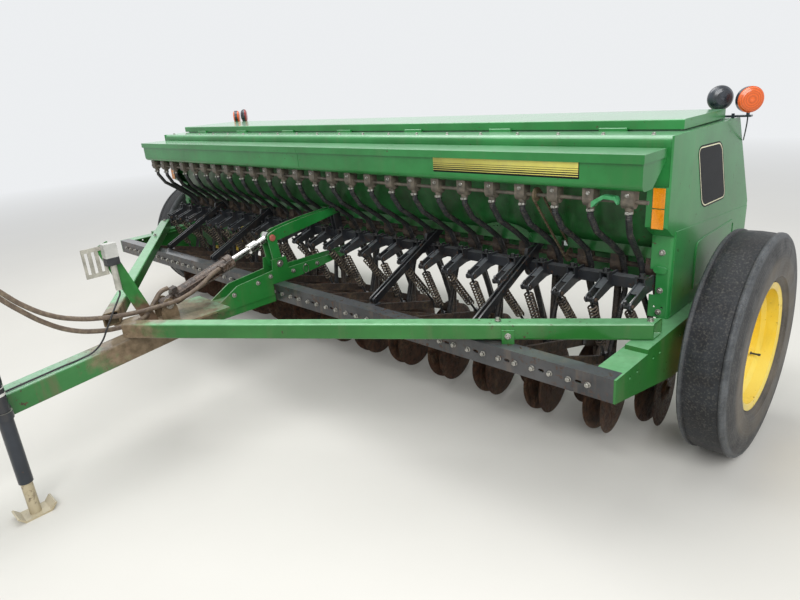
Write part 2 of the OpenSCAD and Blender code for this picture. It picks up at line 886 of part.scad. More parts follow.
module mast() {
    color("forestgreen") {
        for (x = [-48, 40])
            across(x, x + plate)
                polygon([[mast_front, 600], [-1102, 676], [-870, 700], [-862, 760], [-772, 760],
                    [-760, 690], [-280, 690], [-0.3, 720], [-0.3, 702], [-276, 668],
                    [-700, channel_z + 0.3], [channel_front - 8, channel_z + 0.3],
                    [channel_front - 8, 560], [mast_front, 560]]);
        translate([-40, bar_end_y + 0.3, 520])
            cube([80, channel_front - bar_end_y - 0.6, 92]);
        bar_x(-48, 48, lever_foot[0], lever_foot[1], 12);
    }
}

module hose_stand() {
    foot = [0, -1553, 590];
    head = [0, -1713, 1043];
    color("forestgreen")
        difference() {
            square_tube(foot, head, 12, 62, 2);
            translate([-10, -1640, 500])
                cube([20, 200, channel_z + 0.3 - 500]);
        }
    color("tan")
        across(6.3, 12.3)
            difference() {
                translate([-1808, 906])
                    square([100, 134]);
                for (k = [0:2])
                    translate([-1796 + k * 30, 924])
                        square([14, 98]);
            }
    color("silver")
        translate([12.6, -1722, 950])
            cube([40, 58, 100]);
    color("black")
        translate([34, -1692, 830])
            cylinder(h = 120, r = 14);
    // bent rod near the hitch that carries the two hoses
    color("dimgray") {
        rod([0, -2400, jack_z + 48], [0, hose_rest_y, hose_rest_z - 8], 7);
        bar_x(-46, 46, hose_rest_y, hose_rest_z - 8.5, 7);
        for (s = [-1, 1])
            rod([s * 46, hose_rest_y, hose_rest_z - 12], [s * 46, hose_rest_y, hose_rest_z + 40], 7);
    }
}

// Hydraulic lift

module lift_barrel() {
    color("saddlebrown")
        translate([0, cylinder_base[0], cylinder_base[1]])
            rotate([rod_angle, 0, 0]) {
                rotate([-90, 0, 0])
                    difference() {
                        union() {
                            translate([0, 0, 52])
                                cylinder(h = 358, r = 34);
                            // heads at both ends of the barrel
                            for (z = [48, 372])
                                translate([0, 0, z])
                                    cylinder(h = 38, r = 40);
                        }
                        translate([0, 0, 90])
                            cylinder(h = 330, r = 16.05);
                    }
                // tie rods along the barrel
                for (x = [-36, 36])
                    for (z = [-18, 18])
                        translate([x, 60, z])
                            rotate([-90, 0, 0])
                                cylinder(h = 344, r = 5, $fn = 12);
                difference() {
                    union() {
                        rotate([0, 90, 0])
                            cylinder(h = 56, r = 24, center = true);
                        translate([-20, 0, -20])
                            cube([40, 56, 40]);
                    }
                    rotate([0, 90, 0])
                        cylinder(h = 60, r = 12.5, center = true);
                }
                // ports of the two hoses
                translate([0, 44, 30])
                    cube([40, 30, 28]);
                translate([20, 318, 0])
                    cube([51, 30, 28]);
            }
}

module lift_rod() {
    color("silver")
        translate([0, cylinder_base[0], cylinder_base[1]])
            rotate([rod_angle, 0, 0])
                difference() {
                    union() {
                        rotate([-90, 0, 0]) {
                            translate([0, 0, 190])
                                cylinder(h = rod_len - 190, r = 16);
                            // depth stop rings
                            for (z = [-138, -112])
                                translate([0, 0, rod_len + z])
                                    cylinder(h = 24, r = 27);
                            translate([0, 0, rod_len - 66])
                                cylinder(h = 48, r = 20.5);
                        }
                        translate([0, rod_len, 0])
                            rotate([0, 90, 0])
                                cylinder(h = 40, r = 32, center = true);
                    }
                    translate([0, rod_len, 0])
                        rotate([0, 90, 0])
                            cylinder(h = 50, r = 13, center = true);
                }
}

module strap(a, b, r, hole) {
    d = b - a;
    difference() {
        union() {
            translate(a)
                circle(r);
            translate(b)
                circle(r);
            translate(a)
                rotate(atan2(d[1], d[0]))
                    translate([0, -0.97 * r])
                        square([norm(d), 1.94 * r]);
        }
        if (hole > 0)
            for (p = [a, b])
                translate(p)
                    circle(hole);
    }
}

module lift_lever() {
    color("yellowgreen") {
        for (x = [-36, 28])
            across(x, x + 8)
                difference() {
                    strap(lever_foot, lever_top, 28, 0);
                    translate(lever_foot)
                        circle(12.5);
                }
        bar_x(-36, 36, lever_top[0], lever_top[1], 10);
    }
}

// deep bars that taper and rise a little towards the rear
module link_outline() {
    d = link_rear - lever_top;
    len = norm(d);
    difference() {
        translate(lever_top)
            rotate(atan2(d[1], d[0]))
                polygon([for (a = [250:-20:110]) [22 * cos(a), 24 * sin(a)],
                    [40, 33], [0.3 * len, 36], [0.55 * len, 34], [0.8 * len, 27],
                    for (a = [80:-20:-80]) [len + 20 * cos(a), 20 * sin(a)],
                    [0.8 * len, -22], [0.45 * len, -27], [40, -29]]);
        for (p = [lever_top, link_rear])
            translate(p)
                circle(10.8);
    }
}

module lift_link() {
    d = link_rear - lever_top;
    color("yellowgreen") {
        for (x = [-26.5, 21.5])
            across(x, x + 5)
                link_outline();
        // channel that spaces the bars
        across(-22, 22)
            translate(lever_top + 0.24 * d)
                difference() {
                    translate([-4, -18])
                        square([52, 38]);
                    translate([4, -12])
                        square([50, 40]);
                }
    }
}

// one side plate of a rockshaft arm: a clamp on the square shaft and a long tapering arm
module arm_outline() {
    tip = arm_tip;
    n = unit([-arm_tip[1], arm_tip[0]]);
    translate([shaft_y, shaft_z]) {
        rounded(clamp_side, clamp_side, 8);
        polygon([n * 26, tip + n * 17, tip - unit(arm_tip) * -10 + n * 12,
            tip + unit(arm_tip) * 17, tip + unit(arm_tip) * 10 - n * 12, tip - n * 17, -n * 26]);
        // lug of the clamp's two bolts
        translate([-clamp_side / 2 - 22, 8])
            square([26, 26]);
    }
}

module rockshaft() {
    n = unit([-arm_tip[1], arm_tip[0]]);
    web_side = n[1] > 0 ? 1 : -1;
    color([0.15, 0.15, 0.16]) {
        translate([-half_span + 62, shaft_y - shaft_side / 2, shaft_z - shaft_side / 2])
            cube([2 * half_span - 124, shaft_side, shaft_side]);
        for (i = [0:rows - 1])
            translate([row_x(i), 0, 0]) {
                for (s = [-1, 1])
                    across(s * arm_gap / 2 - 3, s * arm_gap / 2 + 3)
                        arm_outline();
                // web between the arm's two plates, short of the fork at its tip
                across(-arm_gap / 2, arm_gap / 2)
                    translate([shaft_y, shaft_z])
                        polygon([arm_tip * 0.16 + n * web_side * 19,
                            arm_tip * 0.62 + n * web_side * 15,
                            arm_tip * 0.62 + n * web_side * 10, arm_tip * 0.16 + n * web_side * 14]);
            }
        for (x = [-20, 12])
            across(x, x + 8)
                strap([shaft_y, shaft_z], link_rear, 26, 0);
        bar_x(-34, 34, link_rear[0], link_rear[1], 10);
    }
}

// Openers

module arm_solid(disc_y, rod_y) {
    arm_z = hinge_z + (rod_y - hinge_y) * (boot_top_z - 20 - hinge_z) / (disc_y - hinge_y);
    difference() {
        union() {
            across(-7, 7)
                polygon([[hinge_y, hinge_z + 22], [rod_y, arm_z + 26], [disc_y - 38, boot_top_z - 4],
                    [disc_y + 30, boot_top_z - 4], [disc_y + 44, disc_z + 60],
                    [disc_y + 60, disc_z - 60], [disc_y + 40, disc_z - 92],
                    [disc_y - 14, disc_z - 20], [disc_y - 36, disc_z + 60],
                    [disc_y - 40, disc_z + 150], [rod_y, arm_z - 16], [hinge_y, hinge_z - 22]]);
            bar_x(-13, 13, hinge_y, hinge_z, 22);
            bar_x(-11, 11, disc_y, disc_z, 20);
            translate([-22, disc_y - 36, boot_top_z - 30])
                cube([44, 70, 30]);
        }
        bar_x(-20, 20, hinge_y, hinge_z, hinge_r + 1);
    }
}

// a disc with its bearing hub bulging on the outer side
module disc(side) {
    rotate([0, 0, side * toe])
        rotate([0, side * 90, 0])
            rotate_extrude($fn = 48)
                polygon([[0, -disc_t / 2], [disc_d / 2 - 12, -disc_t / 2], [disc_d / 2, 0],
                    [disc_d / 2 - 12, disc_t / 2], [54, disc_t / 2], [46, disc_t / 2 + 9],
                    [22, disc_t / 2 + 12], [18, disc_t / 2 + 20], [0, disc_t / 2 + 20]]);
}

module rank_arms(rank, disc_y, rod_y) {
    color([0.2, 0.17, 0.15])
        for (i = rank)
            translate([row_x(i), 0, 0])
                arm_solid(disc_y, rod_y);
}

module rank_discs(rank, disc_y) {
    color([0.35, 0.25, 0.2])
        for (i = rank)
            for (s = [-1, 1])
                translate([row_x(i) + s * (disc_gap + 9), disc_y, disc_z])
                    disc(s);
}

function rod_foot(disc_y, rod_y) = [rod_y,
    hinge_z + 26 + (rod_y - hinge_y) * (boot_top_z - 20 - hinge_z) / (disc_y - hinge_y)];

module rank_rods(rank, disc_y, rod_y) {
    a = rod_foot(disc_y, rod_y);
    tip = [shaft_y, shaft_z] + arm_tip;
    d = tip - a;
    color([0.14, 0.14, 0.15])
        for (i = rank) {
            x = row_x(i);
            rod([x, a[0] + d[0] * 0.03, a[1] + d[1] * 0.03],
                [x, tip[0] + d[0] * 0.1, tip[1] + d[1] * 0.1], 6);
            translate([x, a[0], a[1]])
                difference() {
                    translate([-12, -11, -34])
                        cube([24, 22, 50]);
                    translate([-7.3, -12, -35])
                        cube([14.6, 24, 39.5]);
                }
            translate([x, tip[0], tip[1]])
                rotate([0, 90, 0])
                    cylinder(h = 24, r = 13, center = true);
        }
}

module rank_springs(rank, disc_y, rod_y) {
    a = rod_foot(disc_y, rod_y);
    tip = [shaft_y, shaft_z] + arm_tip;
    d = tip - a;
    n = 12;
    p = norm(d) * 0.7 / n;
    color([0.25, 0.22, 0.2])
        for (i = rank)
            translate([row_x(i), a[0], a[1]])
                rotate([0, acos(d[1] / norm(d)), atan2(d[0], 0)])
                    translate([0, 0, norm(d) * 0.2])
                        rotate_extrude($fn = 24)
                            polygon([[6.3, 0], for (k = [0:n - 1]) each [[15, k * p],
                                [20, (k + 0.5) * p]], [15, n * p], [6.3, n * p]]);
}

module front_arms() {
    rank_arms(front_rank(), front_disc_y, front_rod_y);
}

module front_discs() {
    rank_discs(front_rank(), front_disc_y);
}

module front_rods() {
    rank_rods(front_rank(), front_disc_y, front_rod_y);
}

module front_springs() {
    rank_springs(front_rank(), front_disc_y, front_rod_y);
}

module rear_arms() {
    rank_arms(rear_rank(), rear_disc_y, rear_rod_y);
}

module rear_discs() {
    rank_discs(rear_rank(), rear_disc_y);
}

module rear_rods() {
    rank_rods(rear_rank(), rear_disc_y, rear_rod_y);
}

module rear_springs() {
    rank_springs(rear_rank(), rear_disc_y, rear_rod_y);
}

// Wheels

module spindles() {
    color("dimgray")
        both_sides()
            bar_x(channel_half - 68, wheel_x - 42, 0, axle_z, 30);
}

module rim_left() {
    r = rim_d / 2;
    w = rim_w / 2;
    color("gold")
        translate([wheel_x, 0, axle_z])
            rotate([0, 90, 0]) {
                rotate_extrude($fn = round_fn)
                    polygon([[r, w], [r, w - 9], [r - 20, w - 12], [r - 24, w - 50],
                        [r - 44, w - 66], [r - 44, -w + 66], [r - 24, -w + 50],
                        [r - 20, -w + 12], [r, -w + 9], [r, -w], [r - 6, -w],
                        [r - 27, -w + 6], [r - 31, -w + 52], [r - 51, -w + 68],
                        [r - 51, w - 68], [r - 31, w - 52], [r - 27, w - 6], [r - 6, w]]);
                rotate_extrude($fn = round_fn)
                    polygon([[r - 50, -20], [r - 50, -12], [r - 110, -2], [90, -14],
                        [76, 2], [40, 2], [40, 24], [0, 24], [0, -30], [30.5, -30],
                        [30.5, -62], [48, -62], [48, -22], [r - 110, -10]]);
            }
}

module rim_right() {
    mirror([1, 0, 0])
        rim_left();
}

module tyre_left() {
    r = tyre_d / 2;
    b = rim_d / 2 - 19.6;
    w = tyre_w / 2;
    t = rim_w / 2;
    tread = tyre_w / 2 - 17;
    // outside of one half from the bead to the middle of the tread, rib on the shoulder
    side = [[b, t - 13], [b + 19, t - 9.6], [b + 30, t - 2], [b + 44, w - 8], [b + 47, w - 3],
        [b + 60, w - 1], [r - 110, w], [r - 60, w - 3], [r - 26, w - 10], [r - 9, tread + 2],
        [r - 1, tread - 5], [r, tread - 12], [r - 1, tread - 19], [r - 7, tread - 23],
        [r - 4, tread - 42], [r - 2, 0]];
    inner = [[b, t - 40], [b + 24, w - 34], [r - 60, w - 24], [r - 30, w - 44], [r - 26, 0]];
    color([0.1, 0.1, 0.1])
        translate([wheel_x, 0, axle_z])
            rotate([0, 90, 0])
                rotate_extrude($fn = round_fn)
                    polygon(concat(side, [for (k = [len(side) - 2:-1:0]) [side[k][0], -side[k][1]]],
                        [for (k = [0:len(inner) - 1]) [inner[k][0], -inner[k][1]]],
                        [for (k = [len(inner) - 2:-1:0]) inner[k]]));
}

module tyre_right() {
    mirror([1, 0, 0])
        tyre_left();
}

// Jack

module jack_tube() {
    color([0.12, 0.12, 0.13]) {
        difference() {
            union() {
                translate([jack_x, jack_y, jack_top - jack_len])
                    cylinder(h = jack_len, r = jack_d / 2);
                // mounting ring and the stub that it turns on
                translate([jack_x, jack_y, jack_z - 16])
                    cylinder(h = 32, r = jack_d / 2 + 6);
                translate([jack_x, jack_y, jack_z])
                    rotate([0, -90, 0])
                        cylinder(h = jack_x - bar_w / 2 - 0.5, r = 24);
                translate([bar_w / 2 + 0.5, jack_y, jack_z])
                    rotate([0, 90, 0])
                        cylinder(h = 12, r = 42);
            }
            translate([jack_x, jack_y, jack_top - jack_len - 1])
                cylinder(h = jack_len - 20, r = jack_d / 2 - 5);
        }
        translate([jack_x, jack_y, jack_top - 1])
            cylinder(h = 22, r = 14);
        // crank, with its round grip
        rod([jack_x, jack_y, jack_top + 14], [jack_x + 110, jack_y, jack_top + 14], 8);
        rod([jack_x + 104, jack_y, jack_top + 12], [jack_x + 104, jack_y, jack_top + 100], 8);
        rod([jack_x + 104, jack_y, jack_top + 30], [jack_x + 104, jack_y, jack_top + 104], 14);
    }
}

module jack_leg() {
    hx = jack_foot[0] / 2;
    hy = jack_foot[1] / 2;
    t = jack_foot[2];
    color("tan") {
        translate([jack_x, jack_y, t - 1])
            cylinder(h = jack_top - jack_len + 71 - t, r = jack_d / 2 - 6);
        // foot plate with both ends bent up
        across(jack_x - hx, jack_x + hx)
            translate([jack_y, 0])
                polygon([[-hy, 0], [hy, 0], [hy + jack_foot_wing[0], jack_foot_wing[1]],
                    [hy + jack_foot_wing[0] - 7, jack_foot_wing[1] + 3], [hy - 3, t],
                    [-hy + 3, t], [-hy - jack_foot_wing[0] + 7, jack_foot_wing[1] + 3],
                    [-hy - jack_foot_wing[0], jack_foot_wing[1]]]);
    }
}

// Lamps and footboard

// a lamp's body and its lens on the side s, about the lamp's middle
module lamp_body() {
    color([0.1, 0.1, 0.1])
        rotate([-90, 0, 0])
            rotate_extrude()
                polygon([[0, -26], [lamp_r - 26, -24], [lamp_r - 12, -18], [lamp_r - 3, -8],
                    [lamp_r, 2], [lamp_r, 12], [0, 12]]);
}

module lamp_lens(s) {
    rotate([-90 * s, 0, 0])
        rotate_extrude()
            polygon([[0, 11.9], [lamp_r - 2, 11.9], [lamp_r - 6, 20], [lamp_r - 18, 25],
                [0, 27]]);
}

module lamps() {
    both_sides() {
        // bar on the deck's end that carries both lamps
        color("dimgray") {
            translate([rear_lamp[0] - 20, lamp_y - lamp_bar[0] / 2, deck_z + 3])
                cube([side_lamp[0] - rear_lamp[0] + 36, lamp_bar[0], lamp_bar[1]]);
            for (x = [panel_x - 60, panel_x - 20])
                translate([x, lamp_y, deck_z + 0.3])
                    cylinder(h = 18, r = 7, $fn = 6);
            for (p = [rear_lamp, side_lamp])
                translate([p[0], lamp_y, deck_z + 4])
                    cylinder(h = p[1] - deck_z - lamp_r + 4, r = 7);
        }
        translate([rear_lamp[0], lamp_y, rear_lamp[1]])
            rotate([0, 0, lamp_turn]) {
                lamp_body();
                color("red")
                    lamp_lens(1);
            }
        // amber lamp with a lens on each side
        translate([side_lamp[0], lamp_y, side_lamp[1]])
            rotate([0, 0, lamp_turn]) {
                rotate([90, 0, 0])
                    color([0.1, 0.1, 0.1])
                        cylinder(h = 24, r = lamp_r, center = true);
                color("orange")
                    for (s = [-1, 1])
                        lamp_lens(s);
            }
        // lead of the side lamp, down to the panel's rear edge
        color([0.1, 0.1, 0.1])
            sweep([[side_lamp[0], lamp_y + 2, deck_z + 5], [side_lamp[0] - 2, lamp_y + 8, deck_z - 24],
                [side_lamp[0] - 14, lamp_y + 42, deck_z - 62],
                [side_lamp[0] - 28, lamp_y + 82, deck_z - 92], [side_lamp[0] - 35, 438, deck_z - 106]],
                3, 6);
    }
}

module footboard() {
    color("forestgreen") {
        translate([-panel_x + 5, 640, 560])
            cube([2 * panel_x - 10, 160, 6]);
        both_sides()
            across(panel_x - 15, panel_x - 5)
                polygon([[500, panel_low_z + 6], [500, 720], [610, 736], [800, 582], [800, 566],
                    [690, 566], [640, panel_low_z], [560, panel_low_z + 6]]);
    }
}

// Hoses and cable

module hose_upper() {
    color([0.15, 0.12, 0.1])
        sweep(hose_upper_path, hose_r, 8);
}

module hose_lower() {
    color([0.15, 0.12, 0.1])
        sweep(hose_lower_path, hose_r, 8);
}

module light_cable() {
    color([0.08, 0.08, 0.08])
        sweep(cable_path, cable_r, 8);
}

module hose_ends() {
    color("silver")
        for (p = [hose_upper_path, hose_lower_path]) {
            n = len(p) - 1;
            d = unit(p[n] - p[n - 1]);
            rod(p[n] + 0.01 * d, p[n] + 70 * d, 15);
        }
}

place() hopper();
place() end_panel_left();
place() end_panel_right();
place() main_lid();
place() grass_box_left();
place() grass_box_right();
place() grass_lid_left();
place() grass_lid_right();
place() grass_feed();
place() grass_tubes();
place() seed_meters();
place() seed_tubes();
place() feed_drive();
place() front_channel();
place() end_bracket_left();
place() end_bracket_right();
place() draft_braces();
place() main_tube();
place() a_frame_left();
place() a_frame_right();
place() drawbar();
place() mast();
place() hose_stand();
place() lift_barrel();
place() lift_rod();
place() lift_lever();
place() lift_link();
place() rockshaft();
place() front_arms();
place() front_discs();
place() front_rods();
place() front_springs();
place() rear_arms();
place() rear_discs();
place() rear_rods();
place() rear_springs();
place() spindles();
place() rim_left();
place() tyre_left();
place() rim_right();
place() tyre_right();
place() jack_tube();
place() jack_leg();
place() lamps();
place() footboard();
place() hose_upper();
place() hose_lower();
place() light_cable();
place() hose_ends();
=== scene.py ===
# %% [markdown]
# A towed seed drill, about four and a half metres wide: a long green seed box, a small grass seed
# box in front of it, twenty-six rows of disc openers below, a drawbar with its lift cylinder, and
# two end wheels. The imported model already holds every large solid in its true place. This scene
# keeps those solids, gives each one a finish, and adds the small things that a solid model leaves
# out: hoses, wound springs, bolts, clamps, reflectors and stripes.

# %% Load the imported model
import math

import bpy
from mathutils import Matrix, Vector


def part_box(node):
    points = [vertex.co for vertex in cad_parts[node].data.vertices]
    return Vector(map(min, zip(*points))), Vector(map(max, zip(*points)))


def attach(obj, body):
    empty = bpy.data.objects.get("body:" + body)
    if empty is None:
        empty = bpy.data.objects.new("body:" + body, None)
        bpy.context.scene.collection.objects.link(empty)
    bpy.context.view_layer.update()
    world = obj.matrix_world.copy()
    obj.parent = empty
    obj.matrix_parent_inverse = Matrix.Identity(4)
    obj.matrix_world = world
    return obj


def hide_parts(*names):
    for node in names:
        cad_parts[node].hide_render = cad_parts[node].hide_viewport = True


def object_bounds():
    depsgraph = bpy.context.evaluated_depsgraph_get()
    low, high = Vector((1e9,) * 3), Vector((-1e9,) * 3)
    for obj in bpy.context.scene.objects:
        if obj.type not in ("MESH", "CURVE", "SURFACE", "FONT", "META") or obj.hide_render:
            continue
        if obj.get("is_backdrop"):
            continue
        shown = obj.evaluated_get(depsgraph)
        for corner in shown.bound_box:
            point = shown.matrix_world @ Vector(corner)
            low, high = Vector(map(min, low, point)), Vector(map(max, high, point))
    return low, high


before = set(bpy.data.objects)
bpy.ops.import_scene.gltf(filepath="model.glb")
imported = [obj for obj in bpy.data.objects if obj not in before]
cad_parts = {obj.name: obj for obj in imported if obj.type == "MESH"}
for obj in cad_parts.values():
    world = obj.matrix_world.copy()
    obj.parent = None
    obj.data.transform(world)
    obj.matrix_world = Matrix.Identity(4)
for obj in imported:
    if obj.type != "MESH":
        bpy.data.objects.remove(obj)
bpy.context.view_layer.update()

# %% [markdown]
# The driving dimensions of the real machine come first, in metres, because the small parts repeat
# with the rows. The part's own drawing measures in millimetres from the wheels' axis, and the
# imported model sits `AXLE_Y` further back.

# %% Driving dimensions
ROWS = 26
PITCH = 0.1524
AXLE_Y = 0.998
PANEL_X = ROWS * PITCH / 2 + 0.009
ROW_X = [(i - (ROWS - 1) / 2) * PITCH for i in range(ROWS)]
SIDES = (-1, 1)


def from_axle(x, y, z):
    """A place measured from the wheels' axis in millimetres, as a place in the model in metres."""
    return Vector((x / 1000, y / 1000 + AXLE_Y, z / 1000))


print("rows from", round(ROW_X[0], 3), "to", round(ROW_X[-1], 3))

# %% [markdown]
# The camera stands at head height off the left front corner and looks along the machine. Its place
# and its lens were worked out from parts of known size: the wheels, the lids' edges and the long
# front channel. A phone held in the hand is never quite level, so the camera's own right-hand
# direction is kept as well.

# %% Camera
EYE = from_axle(2852.1, -2670.4, 1630.2)
VIEW = Vector((-0.6696553, 0.6624029, -0.3358335))
RIGHT = Vector((0.7199259, 0.6900419, -0.0744905))
camera_data = bpy.data.cameras.new("camera")
camera_data.sensor_width = 36.0
camera_data.lens = 27.383
camera_data.clip_start = 0.05
camera_data.clip_end = 200
camera = bpy.data.objects.new("camera", camera_data)
bpy.context.scene.collection.objects.link(camera)
turn = Matrix((RIGHT, RIGHT.cross(VIEW), -VIEW)).transposed().to_4x4()
camera.matrix_world = Matrix.Translation(EYE) @ turn
bpy.context.scene.camera = camera
print("camera at", [round(v, 3) for v in camera.matrix_world.translation])

# %% [markdown]
# The cords come next: two hydraulic hoses from the lift cylinder to the front of the drawbar, and
# the thin cable of the lamps. A hose is rubber over steel wire, too stiff to bend sharply, so it
# leaves its port straight and hangs in long curves. Each is one smooth Bezier curve through its
# route, with the hose's own radius as bevel. A curve keeps its centre line, from which its length
# is measured.

# %% Routes of the hoses and the cable
HOSE_R = 0.011
CABLE_R = 0.004
UPPER_ROUTE = [
    (58, -1190, 800), (58, -1230, 786), (58, -1290, 752), (56, -1360, 722), (61, -1440, 706),
    (60, -1540, 704), (50, -1656, 706), (38, -1792, 724), (30, -1895, 752), (26, -1990, 798),
    (22, -2085, 878), (20, -2141, 946), (20, -2190, 1010), (22, -2230, 1056), (23, -2275, 1078),
    (23, -2320, 1062), (23, -2350, 1020), (23, -2362, 960), (23, -2366, 880), (23, -2366, 800)]
LOWER_ROUTE = [
    (22, -1462, 768), (24, -1500, 760), (26, -1540, 724), (27, -1590, 672), (27, -1650, 652),
    (26, -1717, 650), (24, -1828, 668), (18, -1927, 706), (8, -2014, 768), (-2, -2089, 846),
    (-12, -2149, 920), (-18, -2196, 990), (-22, -2234, 1046), (-23, -2275, 1078),
    (-23, -2322, 1060), (-23, -2350, 1010), (-23, -2362, 940), (-23, -2366, 860),
    (-23, -2366, 770)]
CABLE_ROUTE = [
    (34, -1692, 829.9), (34, -1692, 812), (40, -1708, 790), (53, -1738, 756), (60, -1768, 716),
    (60, -1796, 672), (53, -1826, 622), (43, -1868, 585), (38, -1919, 572.5), (36, -2008, 564),
    (36, -2089, 556.2), (36, -2165, 548.8), (36, -2237, 541.6)]


def lay_cord(name, route, radius):
    """A round cord along one smooth open curve through the points of its route."""
    data = bpy.data.curves.new(name, "CURVE")
    data.dimensions = "3D"
    data.resolution_u = 6
    data.bevel_depth = radius
    data.bevel_resolution = 3
    data.use_fill_caps = True
    spline = data.splines.new("BEZIER")
    spline.bezier_points.add(len(route) - 1)
    for point, place in zip(spline.bezier_points, route):
        point.co = from_axle(*place)
        point.handle_left_type = point.handle_right_type = "AUTO"
    cord = bpy.data.objects.new(name, data)
    bpy.context.scene.collection.objects.link(cord)
    bpy.context.view_layer.update()
    print(name, "is", round(spline.calc_length(), 3), "m long")
    return cord, spline.calc_length()


upper_hose, upper_length = lay_cord("hydraulic_hose_upper", UPPER_ROUTE, HOSE_R)
lower_hose, lower_length = lay_cord("hydraulic_hose_lower", LOWER_ROUTE, HOSE_R)
lamp_cable, cable_length = lay_cord("lamp_cable", CABLE_ROUTE, CABLE_R)

# %% [markdown]
# A finish is a small tree of shader nodes. One function adds a node: it sets or links its sockets,
# takes a hex colour from a paint chart as it is written, and gives back one of the node's outputs.
# Every tree starts with a Principled shader and the piece's own Object coordinates. Those are
# metres here, so a pattern's scale follows from a real size.


# %% Adding nodes
def linear(code):
    """An sRGB hex colour as linear red, green, blue and alpha."""
    parts = [int(code[i:i + 2], 16) / 255 for i in (1, 3, 5)]
    return [c / 12.92 if c <= 0.04045 else ((c + 0.055) / 1.055) ** 2.4 for c in parts] + [1.0]


def add_node(tree, kind, sockets, result=0, **settings):
    """Add a node with its settings, set or link its sockets, and return one of its outputs."""
    node = tree.nodes.new("ShaderNode" + kind)
    for name, value in settings.items():
        setattr(node, name, value)
    for socket, value in sockets.items():
        if isinstance(value, bpy.types.NodeSocket):
            tree.links.new(value, node.inputs[socket])
        else:
            value = linear(value) if isinstance(value, str) else value
            node.inputs[socket].default_value = value
    return node.outputs[result]


def start_finish(name):
    """A new material, its emptied tree, and the place of each point in metres."""
    material = bpy.data.materials.new(name)
    material.use_nodes = True
    material.node_tree.nodes.clear()
    tree = material.node_tree
    return material, tree, add_node(tree, "TexCoord", {}, "Object")


def end_finish(tree, height, depth, **sockets):
    """The Principled shader at the end of a tree, with a bump `depth` metres deep."""
    normal = add_node(tree, "Bump", {"Height": height, "Distance": depth, "Strength": 0.6})
    sockets = {name.replace("_", " "): value for name, value in sockets.items()}
    shader = add_node(tree, "BsdfPrincipled", {"Normal": normal, **sockets})
    tree.links.new(shader, tree.nodes.new("ShaderNodeOutputMaterial").inputs["Surface"])


print("a node, a start and an end")

# %% [markdown]
# Two looks return in nearly every finish: clouds of a stain, and one colour laid over another. A
# cloud's noise repeats about once in every `size` metres, and a range turns it into an amount:
# nothing below `start`, all of it above `full`.


# %% Stains and coats
def stains(tree, place, size, start, full, most=1.0, stretch=(1, 1, 1), detail=5.0):
    """How much of a stain lies at each point, from none to `most`."""
    scaled = add_node(tree, "Mapping", {"Vector": place, "Scale": stretch})
    cloud = add_node(tree, "TexNoise", {
        "Vector": scaled, "Scale": 1 / size, "Detail": detail, "Roughness": 0.62})
    return add_node(tree, "MapRange", {
        "Value": cloud, "From Min": start, "From Max": full, "To Max": most})


def coat(tree, amount, under, over):
    """One colour laid over another by an amount."""
    return add_node(tree, "Mix", {0: amount, 6: under, 7: over}, 2, data_type="RGBA")


print("helpers for finishes are ready")

# %% [markdown]
# Sprayed enamel on steel, left outdoors for years. New, it is one glossy green. The sun bleaches
# it in patches a hand or two wide and chalks whatever faces up. The pale mint laid on the upward
# faces is partly that chalk and partly a painted sheen of the pale surroundings. Rain washes soil
# down in streaks, and stones chip it down to brown rust. Each of these is one layer at its real
# size, and the surface's own normal tells which faces look up. The paint keeps some gloss under a
# thin clear coat, so rolled edges still show the pale surroundings, most of all on the faces that
# rain keeps washing. Where the frame's tubes meet above the drawbar, soil thrown up by the tractor
# has stained them brown, which a distance from that place gives. Below the grass box the box is
# darkened, partly grime and partly painted shade of the grass box above it.

# %% Weathered enamel
MUDDY_PLACE = from_axle(0, -1560, 640)


